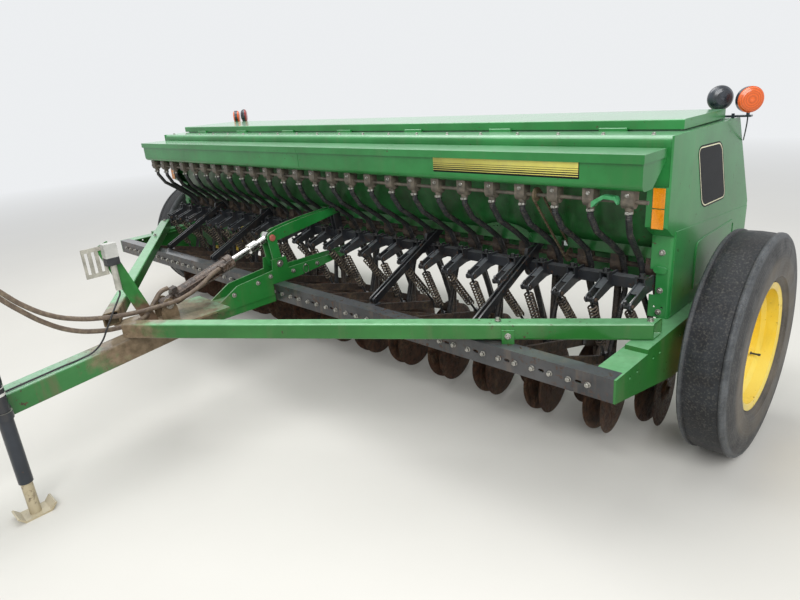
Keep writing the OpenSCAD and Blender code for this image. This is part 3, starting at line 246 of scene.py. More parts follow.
def weathered_enamel(name, colour, bleached, soil="#6e6350", chalk_and_sheen="#c3c0ac", chalk_and_sheen_share=0.3,
                     streaks=0.3, rust=0.3, gloss=0.28, stained=False, shade_and_grime_below=None):
    material, tree, place = start_finish(name)
    paint = coat(tree, stains(tree, place, 0.35, 0.4, 0.68), colour, bleached)
    paint = coat(tree, stains(tree, place, 0.07, 0.52, 0.8, streaks, (1, 1, 0.12)), paint, soil)
    # Below the given height the paint is darkened: partly grime, partly painted shade under the
    # grass box.
    if shade_and_grime_below:
        level = add_node(tree, "SeparateXYZ", {0: place}, "Z")
        below = add_node(tree, "MapRange", {
            "Value": level, "From Min": shade_and_grime_below - 0.06, "From Max": shade_and_grime_below,
            "To Min": 1.0, "To Max": 0.0})
        film = add_node(tree, "Math", {0: below, 1: stains(tree, place, 0.12, 0.2, 0.7, 0.85)},
                        operation="MULTIPLY")
        paint = coat(tree, film, paint, "#222e1d")
    # Upward faces take the chalk colour: partly chalk and dust, partly a painted sheen of the pale
    # surroundings.
    normal = add_node(tree, "NewGeometry", {}, "Normal")
    upward = add_node(tree, "MapRange", {
        "Value": add_node(tree, "SeparateXYZ", {0: normal}, "Z"),
        "From Min": 0.35, "From Max": 0.95})
    powder = add_node(tree, "MapRange", {
        "Value": stains(tree, place, 0.05, 0.25, 0.75, detail=8.0),
        "To Min": 0.55 * chalk_and_sheen_share, "To Max": chalk_and_sheen_share})
    chalk_and_sheen_on_top = add_node(tree, "Math", {0: upward, 1: powder}, operation="MULTIPLY")
    paint = coat(tree, chalk_and_sheen_on_top, paint, chalk_and_sheen)
    if stained:
        offset = add_node(tree, "VectorMath", {0: place, 1: MUDDY_PLACE}, operation="SUBTRACT")
        offset = add_node(tree, "VectorMath", {0: offset, 1: (1, 0.75, 1)}, operation="MULTIPLY")
        reach = add_node(tree, "VectorMath", {0: offset}, "Value", operation="LENGTH")
        ragged = stains(tree, place, 0.05, 0.3, 0.7, 0.09)
        reach = add_node(tree, "Math", {0: reach, 1: ragged}, operation="ADD")
        near = add_node(tree, "MapRange", {
            "Value": reach, "From Min": 0.25, "From Max": 0.36, "To Min": 0.92, "To Max": 0.0})
        mud = coat(tree, stains(tree, place, 0.04, 0.35, 0.65), "#5f4a39", "#8a735e")
        paint = coat(tree, near, paint, mud)
        chalk_and_sheen_on_top = add_node(tree, "Math", {0: chalk_and_sheen_on_top, 1: near}, operation="MAXIMUM")
    chipped = stains(tree, place, 0.02, 0.64 - 0.09 * rust, 0.67 - 0.09 * rust, detail=8.0)
    spread_out = stains(tree, place, 0.25, 0.5 - 0.08 * rust, 0.6)
    chips = add_node(tree, "Math", {0: chipped, 1: spread_out}, operation="MULTIPLY")
    bare = coat(tree, stains(tree, place, 0.006, 0.4, 0.6), "#2e211b", "#5a4030")
    paint = coat(tree, chips, paint, bare)
    dull = add_node(tree, "Math", {0: chalk_and_sheen_on_top, 1: chips}, operation="MAXIMUM")
    rough = add_node(tree, "MapRange", {
        "Value": dull, "From Max": 0.9, "To Min": gloss, "To Max": 0.7})
    washed = add_node(tree, "MapRange", {"Value": upward, "To Min": 0.2, "To Max": 0.9})
    unchipped = add_node(tree, "Math", {0: 1.0, 1: chips}, operation="SUBTRACT")
    end_finish(tree, unchipped, 0.0004, Base_Color=paint, Roughness=rough, Metallic=0.0, IOR=1.42,
               Coat_Weight=washed, Coat_Roughness=0.14)
    return material


print("enamel is one recipe for every paint")

# %% [markdown]
# The machine was painted part by part, and each part has aged in its own way: the lids and panels
# stay the cleanest, the drawbar wears the most, and the channel is scoured by straw. So the one
# recipe is used for twelve paints.

# %% The paints
# The mint chalk colours of the greens are partly a painted sheen of the pale surroundings on upward
# faces.
enamel_green = weathered_enamel(
    "sprayed_enamel_green", "#237033", "#2f8443", chalk_and_sheen="#a3d3b1", chalk_and_sheen_share=0.4, streaks=0.15,
    rust=0.1)
# Below 1.22 m the hopper is darkened, partly grime and partly painted shade under the grass box.
enamel_hopper = weathered_enamel(
    "sprayed_enamel_green_shaded_and_grimy", "#237033", "#2f8443", chalk_and_sheen="#a3d3b1", chalk_and_sheen_share=0.5,
    streaks=0.3, rust=0.1, shade_and_grime_below=1.22)
enamel_mast = weathered_enamel(
    "sprayed_enamel_soiled_green", "#1f6a2b", "#2b7c38", chalk_and_sheen="#8fae8c", chalk_and_sheen_share=0.5, rust=0.15,
    stained=True)
enamel_frame = weathered_enamel(
    "sprayed_enamel_faded_green", "#226326", "#2d7331", chalk_and_sheen="#97d9a5", chalk_and_sheen_share=0.6, rust=0.15,
    stained=True)
enamel_drawbar = weathered_enamel(
    "sprayed_enamel_worn_green", "#236a2d", "#38793f", soil="#6b5645", chalk_and_sheen="#a5d2b2",
    chalk_and_sheen_share=0.65, streaks=0.8, rust=0.45, stained=True)
enamel_lever = weathered_enamel(
    "sprayed_enamel_bright_green", "#1c6f2e", "#2a8540", chalk_and_sheen_share=0.45, rust=0.4)
enamel_black = weathered_enamel(
    "sprayed_enamel_black", "#141518", "#222427", soil="#4d4034", chalk_and_sheen="#6f7275", chalk_and_sheen_share=0.3,
    streaks=0.35, rust=0.5, gloss=0.35)
enamel_channel = weathered_enamel(
    "sprayed_enamel_black_scoured", "#242629", "#4a4a4b", soil="#6a5a4b", chalk_and_sheen="#63676c",
    chalk_and_sheen_share=0.4, streaks=0.9, rust=0.8, gloss=0.35)
enamel_shaft = weathered_enamel(
    "sprayed_enamel_black_chalked", "#1d1f23", "#33363b", soil="#4d4034", chalk_and_sheen="#8f9498",
    chalk_and_sheen_share=0.5, streaks=0.35, rust=0.5, gloss=0.4)
enamel_jack = weathered_enamel("powder_coat_black", "#1c2026", "#2b3038", chalk_and_sheen_share=0.3, rust=0.1)
enamel_tan = weathered_enamel(
    "sprayed_enamel_tan", "#a2926f", "#b8ac90", soil="#5d4b36", streaks=0.6, rust=1.0, gloss=0.5)
rim_yellow = weathered_enamel(
    "sprayed_enamel_yellow", "#e8c53b", "#eed65c", soil="#8a7440", chalk_and_sheen="#f3e6a8", chalk_and_sheen_share=0.2,
    streaks=0.3, rust=0.25)
print("twelve enamels")

# %% [markdown]
# The steel that works in the soil has no paint left. It is hot-rolled bar and plate under a brown
# skin of rust and dry soil, dull all over. A low metallic value under a brown colour gives that,
# and the soil clings in clumps about a centimetre wide. Castings, springs and chains are the same
# story in other tones.


# %% Rusty working steel and castings
def soiled_steel(name, skin, rust, soil, cling=0.5, metallic=0.25, roughness=0.65):
    material, tree, place = start_finish(name)
    colour = coat(tree, stains(tree, place, 0.03, 0.38, 0.64, detail=8.0), skin, rust)
    clumps = stains(tree, place, 0.012, 0.46, 0.6, detail=6.0)
    lying = add_node(tree, "Math", {0: clumps, 1: stains(tree, place, 0.12, 0.42, 0.62, cling)},
                     operation="MULTIPLY")
    rough = add_node(tree, "MapRange", {
        "Value": clumps, "To Min": roughness - 0.12, "To Max": roughness + 0.2})
    end_finish(tree, clumps, 0.0008, Base_Color=coat(tree, lying, colour, soil),
               Roughness=rough, Metallic=metallic)
    return material


arm_steel = soiled_steel("hot_rolled_steel_soiled", "#2a2420", "#43332a", "#75664f")
disc_steel = soiled_steel(
    "disc_steel_rusted", "#33261e", "#553626", "#7d6e58", metallic=0.35, roughness=0.55)
cast_iron = soiled_steel("grey_cast_iron_dusty", "#332d29", "#4a3b30", "#8a7d68", metallic=0.15)
spring_steel = soiled_steel(
    "spring_steel_oiled", "#26211e", "#54463a", "#a09581", cling=0.9, metallic=0.3, roughness=0.5)
chain_steel = soiled_steel("roller_chain_dusty", "#6d5f4a", "#4b3a2a", "#a79a80", metallic=0.4)
barrel_steel = soiled_steel(
    "cylinder_barrel_oily", "#2e2825", "#513f32", "#8d8074", metallic=0.1, roughness=0.38)
shaft_steel = soiled_steel(
    "cold_drawn_bar_grey", "#4c5056", "#45433f", "#7f7768", cling=0.4, metallic=0.5,
    roughness=0.45)
print("seven steels")

# %% [markdown]
# Zinc plating on bolts, hard chrome on the cylinder's rod and bare turned steel are true metals:
# full metallic value, default IOR, and only tone and roughness change. Zinc dulls to a soft grey
# with a white bloom. Chrome stays bright under a thin film of dust.


# %% Plated and turned metals
def plated(name, bright, dull, roughness, bloom_size):
    material, tree, place = start_finish(name)
    bloom = stains(tree, place, bloom_size, 0.4, 0.66)
    rough = add_node(tree, "MapRange", {
        "Value": bloom, "To Min": roughness, "To Max": roughness + 0.22})
    end_finish(tree, bloom, 0.0001, Base_Color=coat(tree, bloom, bright, dull), Roughness=rough,
               Metallic=1.0)
    return material


zinc = plated("zinc_plated_steel", "#b9b7b0", "#77756f", 0.36, 0.005)
chrome = plated("hard_chrome", "#dededd", "#b5b2ac", 0.1, 0.015)
turned_steel = plated("turned_steel_bare", "#bdbbb6", "#7f7a72", 0.32, 0.008)
print("three bright metals")

# %% [markdown]
# Rubber is nearly black with a broad soft highlight. What the eye reads on old rubber is what lies
# on it: a grey bloom, and pale dust in patches. The same tree serves for moulded plastic and vinyl
# film, which differ in their colours and their gloss. The seed tubes are corrugated, with a ring
# about every ten millimetres, which a wave along the upright axis gives as a bump.


# %% Rubber, plastic and film
def moulded(name, colour, bloom, dust_colour, dust=0.4, roughness=0.55, rings=None, ior=1.5):
    material, tree, place = start_finish(name)
    height, depth = stains(tree, place, 0.004, 0.3, 0.7), 0.0002
    if rings:
        # The Wave texture has a band in every pi / 10 units at a scale of one.
        height, depth = add_node(tree, "TexWave", {
            "Vector": place, "Scale": math.pi / 10 / rings}, 1, bands_direction="Z"), 0.002
    base = coat(tree, stains(tree, place, 0.08, 0.38, 0.7), colour, bloom)
    powder = stains(tree, place, 0.02, 0.48, 0.74, dust, detail=8.0)
    rough = add_node(tree, "MapRange", {
        "Value": powder, "To Min": roughness, "To Max": roughness + 0.3})
    end_finish(tree, height, depth, Base_Color=coat(tree, powder, base, dust_colour),
               Roughness=rough, Metallic=0.0, IOR=ior)
    return material


tube_rubber = moulded(
    "corrugated_rubber_tube", "#121315", "#25272b", "#6d6353", 0.35, 0.5, rings=0.009)
seed_rubber = moulded("seed_tube_rubber_brown", "#27211e", "#3a302a", "#7a6a56", 0.5, rings=0.010)
hose_rubber = moulded("hydraulic_hose_rubber", "#5a4c40", "#6d5e50", "#94866f", 0.6)
cable_vinyl = moulded("cable_sheath_vinyl", "#141517", "#232427", "#5d564a", 0.3, 0.45)
lamp_plastic = moulded("moulded_polypropylene_black", "#22272e", "#333a43", "#6d6a60", 0.25, 0.35)
film_black = moulded("vinyl_film_black", "#0f1115", "#181a1f", "#5a574f", 0.1, 0.5, ior=1.25)
film_cream = moulded("vinyl_film_cream", "#ebe7c4", "#ded9b2", "#b5ae90", 0.3, 0.4)
film_yellow = moulded("vinyl_film_yellow", "#dcd36a", "#cfc45a", "#b5ae90", 0.25, 0.4)
film_white = moulded("vinyl_film_white", "#dcdcd8", "#c9c8c2", "#8f8b80", 0.4, 0.45)
bushing_nylon = moulded("cast_nylon_faded_red", "#a8584c", "#8f463c", "#7a6a56", 0.5)
print("ten rubbers and plastics")

# %% [markdown]
# The tyres are worn almost smooth. Their tread is dark and scuffed with pale grit in it, both
# shoulders are greyer with fine dry cracks, and the sidewall has faint rings and turns brown with
# soil near the rim. All of it is drawn by the distance from the wheel's axis and from the tyre's
# middle, so the finish stays right when the wheel turns.

# %% Where the tyre is worn
WHEEL_X = sum(corner.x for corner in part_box("tyre_left")) / 2
WHEEL_AXIS = from_axle(0, 0, 479)
tyre_rubber, tree, place = start_finish("tyre_rubber_worn")
out = add_node(tree, "VectorMath", {0: place, 1: WHEEL_AXIS}, operation="SUBTRACT")
out = add_node(tree, "VectorMath", {0: out, 1: (0, 1, 1)}, operation="MULTIPLY")
radius = add_node(tree, "VectorMath", {0: out}, "Value", operation="LENGTH")
across = add_node(tree, "SeparateXYZ", {0: place}, "X")
across = add_node(tree, "Math", {0: across}, operation="ABSOLUTE")
aside = add_node(tree, "Math", {0: across, 1: WHEEL_X}, operation="SUBTRACT")
aside = add_node(tree, "Math", {0: aside}, operation="ABSOLUTE")
on_tread = add_node(tree, "MapRange", {"Value": radius, "From Min": 0.447, "From Max": 0.462})
edge = add_node(tree, "MapRange", {"Value": aside, "From Min": 0.066, "From Max": 0.078})
shoulder = add_node(tree, "Math", {0: edge, 1: on_tread}, operation="MULTIPLY")
near_rim = add_node(tree, "MapRange", {
    "Value": radius, "From Min": 0.37, "From Max": 0.4, "To Min": 1.0, "To Max": 0.0})
print("tyre middle at", round(WHEEL_X, 3))

# %% Worn tyre rubber
RINGS = 520.0  # radians in a metre: a ring every 12 mm
CRACKS = 90.0  # cells in a metre: 11 mm each
scuffs = stains(tree, place, 0.07, 0.4, 0.68, detail=7.0)
tread = coat(tree, scuffs, "#151619", "#282b2f")
tread = coat(tree, shoulder, tread, coat(tree, scuffs, "#3f4245", "#5d6063"))
soil = coat(tree, stains(tree, place, 0.14, 0.35, 0.66), "#3f3c39", "#625b52")
wall = coat(tree, near_rim, "#2b2c2f", soil)
rings = add_node(tree, "Math", {0: radius, 1: RINGS}, operation="MULTIPLY")
rings = add_node(tree, "Math", {0: rings}, operation="SINE")
rings = add_node(tree, "MapRange", {"Value": rings, "From Min": 0.6, "To Max": 0.25})
wall = coat(tree, rings, wall, "#6b6a68")
cracks = add_node(tree, "TexVoronoi", {"Vector": place, "Scale": CRACKS}, 0,
                  feature="DISTANCE_TO_EDGE")
cracks = add_node(tree, "MapRange", {
    "Value": cracks, "From Max": 0.07, "To Min": 0.7, "To Max": 0.0})
worn = add_node(tree, "Math", {0: shoulder, 1: stains(tree, place, 0.12, 0.4, 0.6)},
                operation="MULTIPLY")
cracks = add_node(tree, "Math", {0: cracks, 1: worn}, operation="MULTIPLY")
colour = coat(tree, cracks, coat(tree, on_tread, wall, tread), "#15161a")
grit = stains(tree, place, 0.008, 0.5, 0.74, 0.35, detail=8.0)
height = add_node(tree, "Math", {0: grit, 1: cracks}, operation="SUBTRACT")
rough = add_node(tree, "MapRange", {"Value": scuffs, "To Min": 0.45, "To Max": 0.65})
end_finish(tree, height, 0.0003, Base_Color=coat(tree, grit, colour, "#7c786f"), Metallic=0.0,
           IOR=1.4, Roughness=rough)
print("tyre rubber")

# %% [markdown]
# Each end carries two round lamps, moulded in black with clear acrylic lenses that have fine
# ring-shaped ridges inside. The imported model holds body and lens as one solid. The lens is told
# from the body by its place: how far a point lies from the lamp's middle, and how far out along
# the lamp's own axis, which is turned forty degrees. Both ends are alike, so the distance from the
# machine's middle is used in place of X. The side lamp has a lens on both faces.

# %% Lamps
LAMP_AXIS = (-math.sin(math.radians(40)), math.cos(math.radians(40)), 0)
SIDE_LAMP = Vector((PANEL_X + 0.039, 0.336 + AXLE_Y, 1.376 + 0.075))
REAR_LAMP = Vector((PANEL_X - 0.077, 0.336 + AXLE_Y, 1.376 + 0.084))
LENS_R = 0.056
LENS_EDGE = 0.0119
RIDGES = 1000.0  # radians in a metre: a ridge every 6 mm
lamp_finish, tree, place = start_finish("moulded_lamp_acrylic")
whole = add_node(tree, "VectorMath", {0: place}, operation="ABSOLUTE")
colour = coat(tree, stains(tree, place, 0.03, 0.4, 0.7), "#1a1f25", "#2f3640")
for middle, lens, faces in ((SIDE_LAMP, "#d95f1c", 2), (REAR_LAMP, "#8c1410", 1)):
    offset = add_node(tree, "VectorMath", {0: whole, 1: middle}, operation="SUBTRACT")
    along = add_node(tree, "VectorMath", {0: offset, 1: LAMP_AXIS}, "Value",
                     operation="DOT_PRODUCT")
    if faces == 2:
        along = add_node(tree, "Math", {0: along}, operation="ABSOLUTE")
    distance = add_node(tree, "VectorMath", {0: offset}, "Value", operation="LENGTH")
    near = add_node(tree, "Math", {0: distance, 1: LENS_R}, operation="LESS_THAN")
    beyond = add_node(tree, "Math", {0: along, 1: LENS_EDGE}, operation="GREATER_THAN")
    shows = add_node(tree, "Math", {0: near, 1: beyond}, operation="MULTIPLY")
    ridges = add_node(tree, "Math", {0: distance, 1: RIDGES}, operation="MULTIPLY")
    ridges = add_node(tree, "Math", {0: ridges}, operation="SINE")
    ridges = add_node(tree, "MapRange", {
        "Value": ridges, "From Min": -1.0, "To Min": 0.78, "To Max": 1.12})
    tinted = add_node(tree, "HueSaturation", {"Color": lens, "Value": ridges})
    colour = coat(tree, shows, colour, tinted)
end_finish(tree, stains(tree, place, 0.004, 0.3, 0.7), 0.0002, Base_Color=colour, Metallic=0.0,
           IOR=1.49, Roughness=stains(tree, place, 0.02, 0.0, 0.9, 0.5), Coat_Weight=0.4,
           Coat_Roughness=0.1)
print("lamps")

# %% [markdown]
# A reflector is amber acrylic too, moulded at the back into small prisms that throw light home.
# Cells of a Voronoi pattern stand for them, with a small step of tone and height from one to the
# next.

# %% Reflector sheet
PRISMS = 160.0  # cells in a metre: 6 mm each
amber_sheet, tree, place = start_finish("reflector_sheet_amber")
prisms = add_node(tree, "TexVoronoi", {"Vector": place, "Scale": PRISMS})
end_finish(tree, prisms, 0.0005, Base_Color=coat(tree, prisms, "#f39a12", "#dd8208"),
           Metallic=0.0, IOR=1.49, Roughness=stains(tree, place, 0.02, 0.0, 1.0, 0.45),
           Coat_Weight=0.4, Coat_Roughness=0.1)
print("reflectors")

# %% [markdown]
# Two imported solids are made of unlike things. The hose stand is a green flat bar with a bare
# slotted plate, a pale and black socket block and its grey plug, which lie side by side across the
# machine, so X and height tell them apart. Its foot stands in the stained part of the frame, and
# the rest that carries the hoses at its front is rusty.

# %% Finish of the hose stand
BAR_SIDE, PLATE_SIDE = 0.00615, 0.01245
BLACK_LEVEL, PLUG_LEVEL = 0.9495, 0.985
REST_BACK = from_axle(0, -2250, 0).y
stand_finish, tree, place = start_finish("hose_stand_enamel_steel_and_plastic")
across, along, height = (add_node(tree, "SeparateXYZ", {0: place}, axis) for axis in "XYZ")
cloud = stains(tree, place, 0.05, 0.35, 0.65)
ragged = add_node(tree, "Math", {0: height, 1: stains(tree, place, 0.04, 0.3, 0.7, 0.06)},
                  operation="ADD")
foot = add_node(tree, "MapRange", {
    "Value": ragged, "From Min": 0.74, "From Max": 0.8, "To Min": 1.0, "To Max": 0.0})
mud = coat(tree, cloud, "#5f4a39", "#8a735e")
colour = coat(tree, foot, coat(tree, cloud, "#26702e", "#33803a"), mud)
beside_bar = add_node(tree, "Math", {0: across, 1: BAR_SIDE}, operation="GREATER_THAN")
colour = coat(tree, beside_bar, colour, coat(tree, cloud, "#8d8a80", "#b5b2a6"))
beside_plate = add_node(tree, "Math", {0: across, 1: PLATE_SIDE}, operation="GREATER_THAN")
colour = coat(tree, beside_plate, colour, coat(tree, cloud, "#9a998f", "#bdbbb1"))
for level, dark, light in ((BLACK_LEVEL, "#222326", "#37383b"),
                           (PLUG_LEVEL, "#b0b0ac", "#c6c5c0")):
    above = add_node(tree, "Math", {0: height, 1: level}, operation="GREATER_THAN")
    on_block = add_node(tree, "Math", {0: beside_plate, 1: above}, operation="MULTIPLY")
    colour = coat(tree, on_block, colour, coat(tree, cloud, dark, light))
at_rest = add_node(tree, "Math", {0: along, 1: REST_BACK}, operation="LESS_THAN")
colour = coat(tree, at_rest, colour, coat(tree, cloud, "#35312d", "#4b3b30"))
rough = add_node(tree, "MapRange", {"Value": cloud, "To Min": 0.35, "To Max": 0.6})
end_finish(tree, cloud, 0.0003, Base_Color=colour, Metallic=0.0, IOR=1.5, Roughness=rough)
print("hose stand")

# %% [markdown]
# The feed of the grass box is a dull steel shaft with one green lever at its left end. The lever
# is the only part of it that reaches in front of the shaft there, so its place tells it from the
# rest.

# %% Finish of the grass feed
LEVER_X = (1.7765, 1.881)
SHAFT_FRONT = from_axle(0, -530, 0).y
feed_finish, tree, place = start_finish("feed_shaft_steel_and_enamel_lever")
across, along = (add_node(tree, "SeparateXYZ", {0: place}, axis) for axis in "XY")
cloud = stains(tree, place, 0.03, 0.38, 0.64)
inner = add_node(tree, "Math", {0: across, 1: LEVER_X[0]}, operation="GREATER_THAN")
outer = add_node(tree, "Math", {0: across, 1: LEVER_X[1]}, operation="LESS_THAN")
before_shaft = add_node(tree, "Math", {0: along, 1: SHAFT_FRONT}, operation="LESS_THAN")
lever = add_node(tree, "Math", {0: inner, 1: outer}, operation="MULTIPLY")
lever = add_node(tree, "Math", {0: lever, 1: before_shaft}, operation="MULTIPLY")
steel = coat(tree, cloud, "#4a463f", "#6f665a")
colour = coat(tree, lever, steel, coat(tree, cloud, "#2a8447", "#55a070"))
rough = add_node(tree, "MapRange", {"Value": cloud, "To Min": 0.4, "To Max": 0.65})
end_finish(tree, cloud, 0.0003, Base_Color=colour, Metallic=0.1, Roughness=rough)
print("grass feed")

# %% [markdown]
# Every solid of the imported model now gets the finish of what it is. A finish is put in the
# object's material slot, and the mesh isn't touched.

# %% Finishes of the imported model
FINISHES = {
    enamel_hopper: "hopper",
    enamel_green: "end_panel_left end_panel_right main_lid grass_box_left grass_box_right "
                  "grass_lid_left grass_lid_right main_tube footboard",
    enamel_mast: "mast",
    enamel_frame: "end_bracket_left end_bracket_right a_frame_left a_frame_right",
    enamel_drawbar: "drawbar",
    enamel_lever: "lift_lever lift_link",
    enamel_black: "draft_braces front_rods rear_rods",
    enamel_channel: "front_channel",
    enamel_shaft: "rockshaft",
    enamel_jack: "jack_tube",
    enamel_tan: "jack_leg",
    stand_finish: "hose_stand",
    rim_yellow: "rim_left rim_right",
    arm_steel: "front_arms rear_arms",
    disc_steel: "front_discs rear_discs",
    cast_iron: "seed_meters",
    spring_steel: "front_springs rear_springs",
    chain_steel: "feed_drive",
    barrel_steel: "lift_barrel",
    feed_finish: "grass_feed",
    shaft_steel: "spindles",
    chrome: "lift_rod",
    turned_steel: "hose_ends",
    tube_rubber: "grass_tubes",
    seed_rubber: "seed_tubes",
    hose_rubber: "hose_upper hose_lower",
    cable_vinyl: "light_cable",
    tyre_rubber: "tyre_left tyre_right",
    lamp_finish: "lamps",
}
for finish, names in FINISHES.items():
    for name in names.split():
        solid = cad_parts[name]
        solid.data.materials.clear()
        solid.data.materials.append(finish)
solids = sum(len(names.split()) for names in FINISHES.values())
print("finished", solids, "solids of", len(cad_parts))

# %% [markdown]
# New pieces are shaped by the same few moves as by hand. An operator acts on all that is selected,
# so each move starts from a clean selection: a primitive is drawn alone, faces are picked in code
# by their place and direction, and a finished shape has its faces turned outwards and its sharp
# edges kept.


# %% Drawing and editing
def draw(primitive, **settings):
    """A new primitive, drawn with nothing else selected."""
    bpy.ops.object.select_all(action="DESELECT")
    primitive(**settings)
    bpy.ops.object.transform_apply()
    return bpy.context.object


def only(piece):
    """Select one object alone and make it the active one."""
    bpy.ops.object.select_all(action="DESELECT")
    piece.select_set(True)
    bpy.context.view_layer.objects.active = piece


def edit_all():
    """Open the active piece in edit mode with all of it selected."""
    bpy.ops.object.mode_set(mode="EDIT")
    bpy.ops.mesh.select_all(action="SELECT")


def edit_faces(piece, test):
    """Open a piece in edit mode with only the faces selected whose middle and normal pass."""
    only(piece)
    bpy.ops.object.mode_set(mode="EDIT")
    bpy.ops.mesh.select_mode(type="FACE")
    bpy.ops.mesh.select_all(action="DESELECT")
    bpy.ops.object.mode_set(mode="OBJECT")
    for face in piece.data.polygons:
        face.select = test(face.center, face.normal)
    bpy.ops.object.mode_set(mode="EDIT")


def close_edit(piece, angle=35):
    """Turn all faces outwards, leave edit mode and shade smooth between the sharp edges."""
    bpy.ops.mesh.select_all(action="SELECT")
    bpy.ops.mesh.normals_make_consistent(inside=False)
    bpy.ops.object.mode_set(mode="OBJECT")
    bpy.ops.object.shade_smooth_by_angle(angle=math.radians(angle))
    return piece


print("helpers for editing are ready")

# %% [markdown]
# Most small parts are either turned or rolled. To turn one as on a lathe, a filled circle is drawn
# out and scaled again and again. A rolled or cast one is a block whose edges are bevelled.


# %% Turned and rolled shapes
def turned(profile, sides=16):
    """A circle at the first (radius, height), drawn out and scaled to each next one."""
    radius, height = profile[0]
    piece = draw(bpy.ops.mesh.primitive_circle_add, vertices=sides, radius=radius,
                 fill_type="NGON", location=(0, 0, height))
    edit_all()
    for next_radius, next_height in profile[1:]:
        rise = (0, 0, next_height - height)
        bpy.ops.mesh.extrude_region_move(TRANSFORM_OT_translate={"value": rise})
        scale = next_radius / radius
        bpy.ops.transform.resize(value=(scale, scale, 1), center_override=(0, 0, next_height))
        radius, height = next_radius, next_height
    return close_edit(piece)


def plate(size, bevel, segments=2):
    """A rolled or cast block with rounded edges."""
    piece = draw(bpy.ops.mesh.primitive_cube_add, size=1)
    piece.scale = size
    bpy.ops.object.transform_apply()
    edit_all()
    bpy.ops.mesh.bevel(offset=bevel, segments=segments)
    return close_edit(piece)


print("helpers for shapes are ready")

# %% [markdown]
# To place a piece, its mesh is moved and its object stays at the origin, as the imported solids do.
# Whatever repeats is shaped once, copied with its own mesh to each place, and joined. A finished
# piece gets a name, a finish, a slot and the body that it rides on.

# %% Placing and finishing
UP = Vector((0, 0, 1))
FORWARD = Vector((0, -1, 0))
OUTWARD = {side: Vector((side, 0, 0)) for side in SIDES}


def joined(parts):
    """Several objects as one."""
    bpy.ops.object.select_all(action="DESELECT")
    for part in parts:
        part.select_set(True)
    bpy.context.view_layer.objects.active = parts[0]
    bpy.ops.object.join()
    return parts[0]


def seat(place, direction=UP):
    """The move that sets a piece drawn along Z at a place, with Z along a direction."""
    turn = direction.to_track_quat("Z", "Y").to_matrix().to_4x4()
    return Matrix.Translation(place) @ turn


def moved(piece, move):
    """A piece whose mesh has been moved."""
    piece.data.transform(move)
    return piece


def spread(piece, moves):
    """Copies of a piece, each with its own mesh, moved to their places and joined."""
    copies = []
    for move in moves:
        copy = piece.copy()
        copy.data = piece.data.copy()
        bpy.context.scene.collection.objects.link(copy)
        copies.append(moved(copy, move))
    bpy.data.objects.remove(piece)
    return joined(copies)


def finish_piece(piece, name, finish, body):
    """Name a piece, give it its finish and slot, and let it ride on a body."""
    piece.name = piece.data.name = name
    piece.data.materials.clear()
    piece.data.materials.append(finish)
    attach(piece, body)
    print(name, "has", len(getattr(piece.data, "polygons", [])), "faces")
    return piece


print("helpers for placing are ready")

# %% [markdown]
# The hoses end in plain steel couplers: a collar, a waist and a sleeve with a groove. Each hose
# gets its coupler, which hangs from its last point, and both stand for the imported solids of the
# same route.

# %% Couplers and cords
COUPLER = [(0.0135, 0.0), (0.0155, 0.002), (0.0155, 0.016), (0.0125, 0.018), (0.0125, 0.024),
           (0.015, 0.026), (0.015, 0.044), (0.0138, 0.046), (0.0138, 0.049), (0.015, 0.051),
           (0.015, 0.066), (0.0135, 0.069), (0.008, 0.0695)]
couplers = []
for name, route in (("hose_coupler_upper", UPPER_ROUTE), ("hose_coupler_lower", LOWER_ROUTE)):
    end, before = from_axle(*route[-1]), from_axle(*route[-2])
    coupler = moved(turned(COUPLER, 20), seat(end, end - before))
    couplers.append(finish_piece(coupler, name, turned_steel, "frame"))
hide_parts("hose_ends")
for hose, length, route, end in ((upper_hose, upper_length, UPPER_ROUTE, couplers[0]),
                                 (lower_hose, lower_length, LOWER_ROUTE, couplers[1])):
    finish_piece(hose, hose.name, hose_rubber, "frame")
finish_piece(lamp_cable, "lamp_cable", cable_vinyl, "frame")
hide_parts("hose_upper")
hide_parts("hose_lower")
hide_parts("light_cable")

# %% [markdown]
# Twenty-six coil springs press the openers down, one round each rod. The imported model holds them
# as ribbed sleeves. A real one is a single wire, and the Screw modifier winds it: a small circle
# is swept thirteen times round the axis while it climbs. The modifier is applied, the two cut ends
# of the wire are filled, and the coil is copied to its rod. Each rank leans its own way, so the
# lean is worked out from the rod's foot and its tip.

# %% Coil springs
SPRING_TURNS = 13
SPRING_R = 0.0180
WIRE_R = 0.0042
COIL_START, COIL_SHARE = 0.2, 0.7  # of the rod, from its foot
ARM_TIP = Vector((0, -495, 745))
RANKS = {"front": (Vector((0, -354, 437.4)), ROW_X[0::2]),
         "rear": (Vector((0, -265, 458.6)), ROW_X[1::2])}


def coil(length):
    """A coil spring along Z, wound from one turn of wire."""
    wire = draw(bpy.ops.mesh.primitive_circle_add, vertices=6, radius=WIRE_R,
                location=(SPRING_R, 0, 0), rotation=(math.pi / 2, 0, 0))
    wind = wire.modifiers.new("wind", "SCREW")
    wind.angle = 2 * math.pi
    wind.screw_offset = (length - 2 * WIRE_R) / SPRING_TURNS
    wind.iterations = SPRING_TURNS
    wind.steps = wind.render_steps = 14
    wind.use_merge_vertices = True
    wind.merge_threshold = 0.0001
    bpy.ops.object.modifier_apply(modifier="wind")
    edit_all()
    bpy.ops.mesh.fill_holes(sides=0)
    return moved(close_edit(wire, 60), Matrix.Translation((0, 0, WIRE_R)))


for rank, (foot, rows) in RANKS.items():
    lean = ARM_TIP - foot
    start = foot + COIL_START * lean
    moves = [seat(from_axle(1000 * x, start.y, start.z), lean) for x in rows]
    springs = spread(coil(COIL_SHARE * lean.length / 1000), moves)
    finish_piece(springs, f"coil_springs_{rank}", spring_steel, "openers")
    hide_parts(f"{rank}_springs")

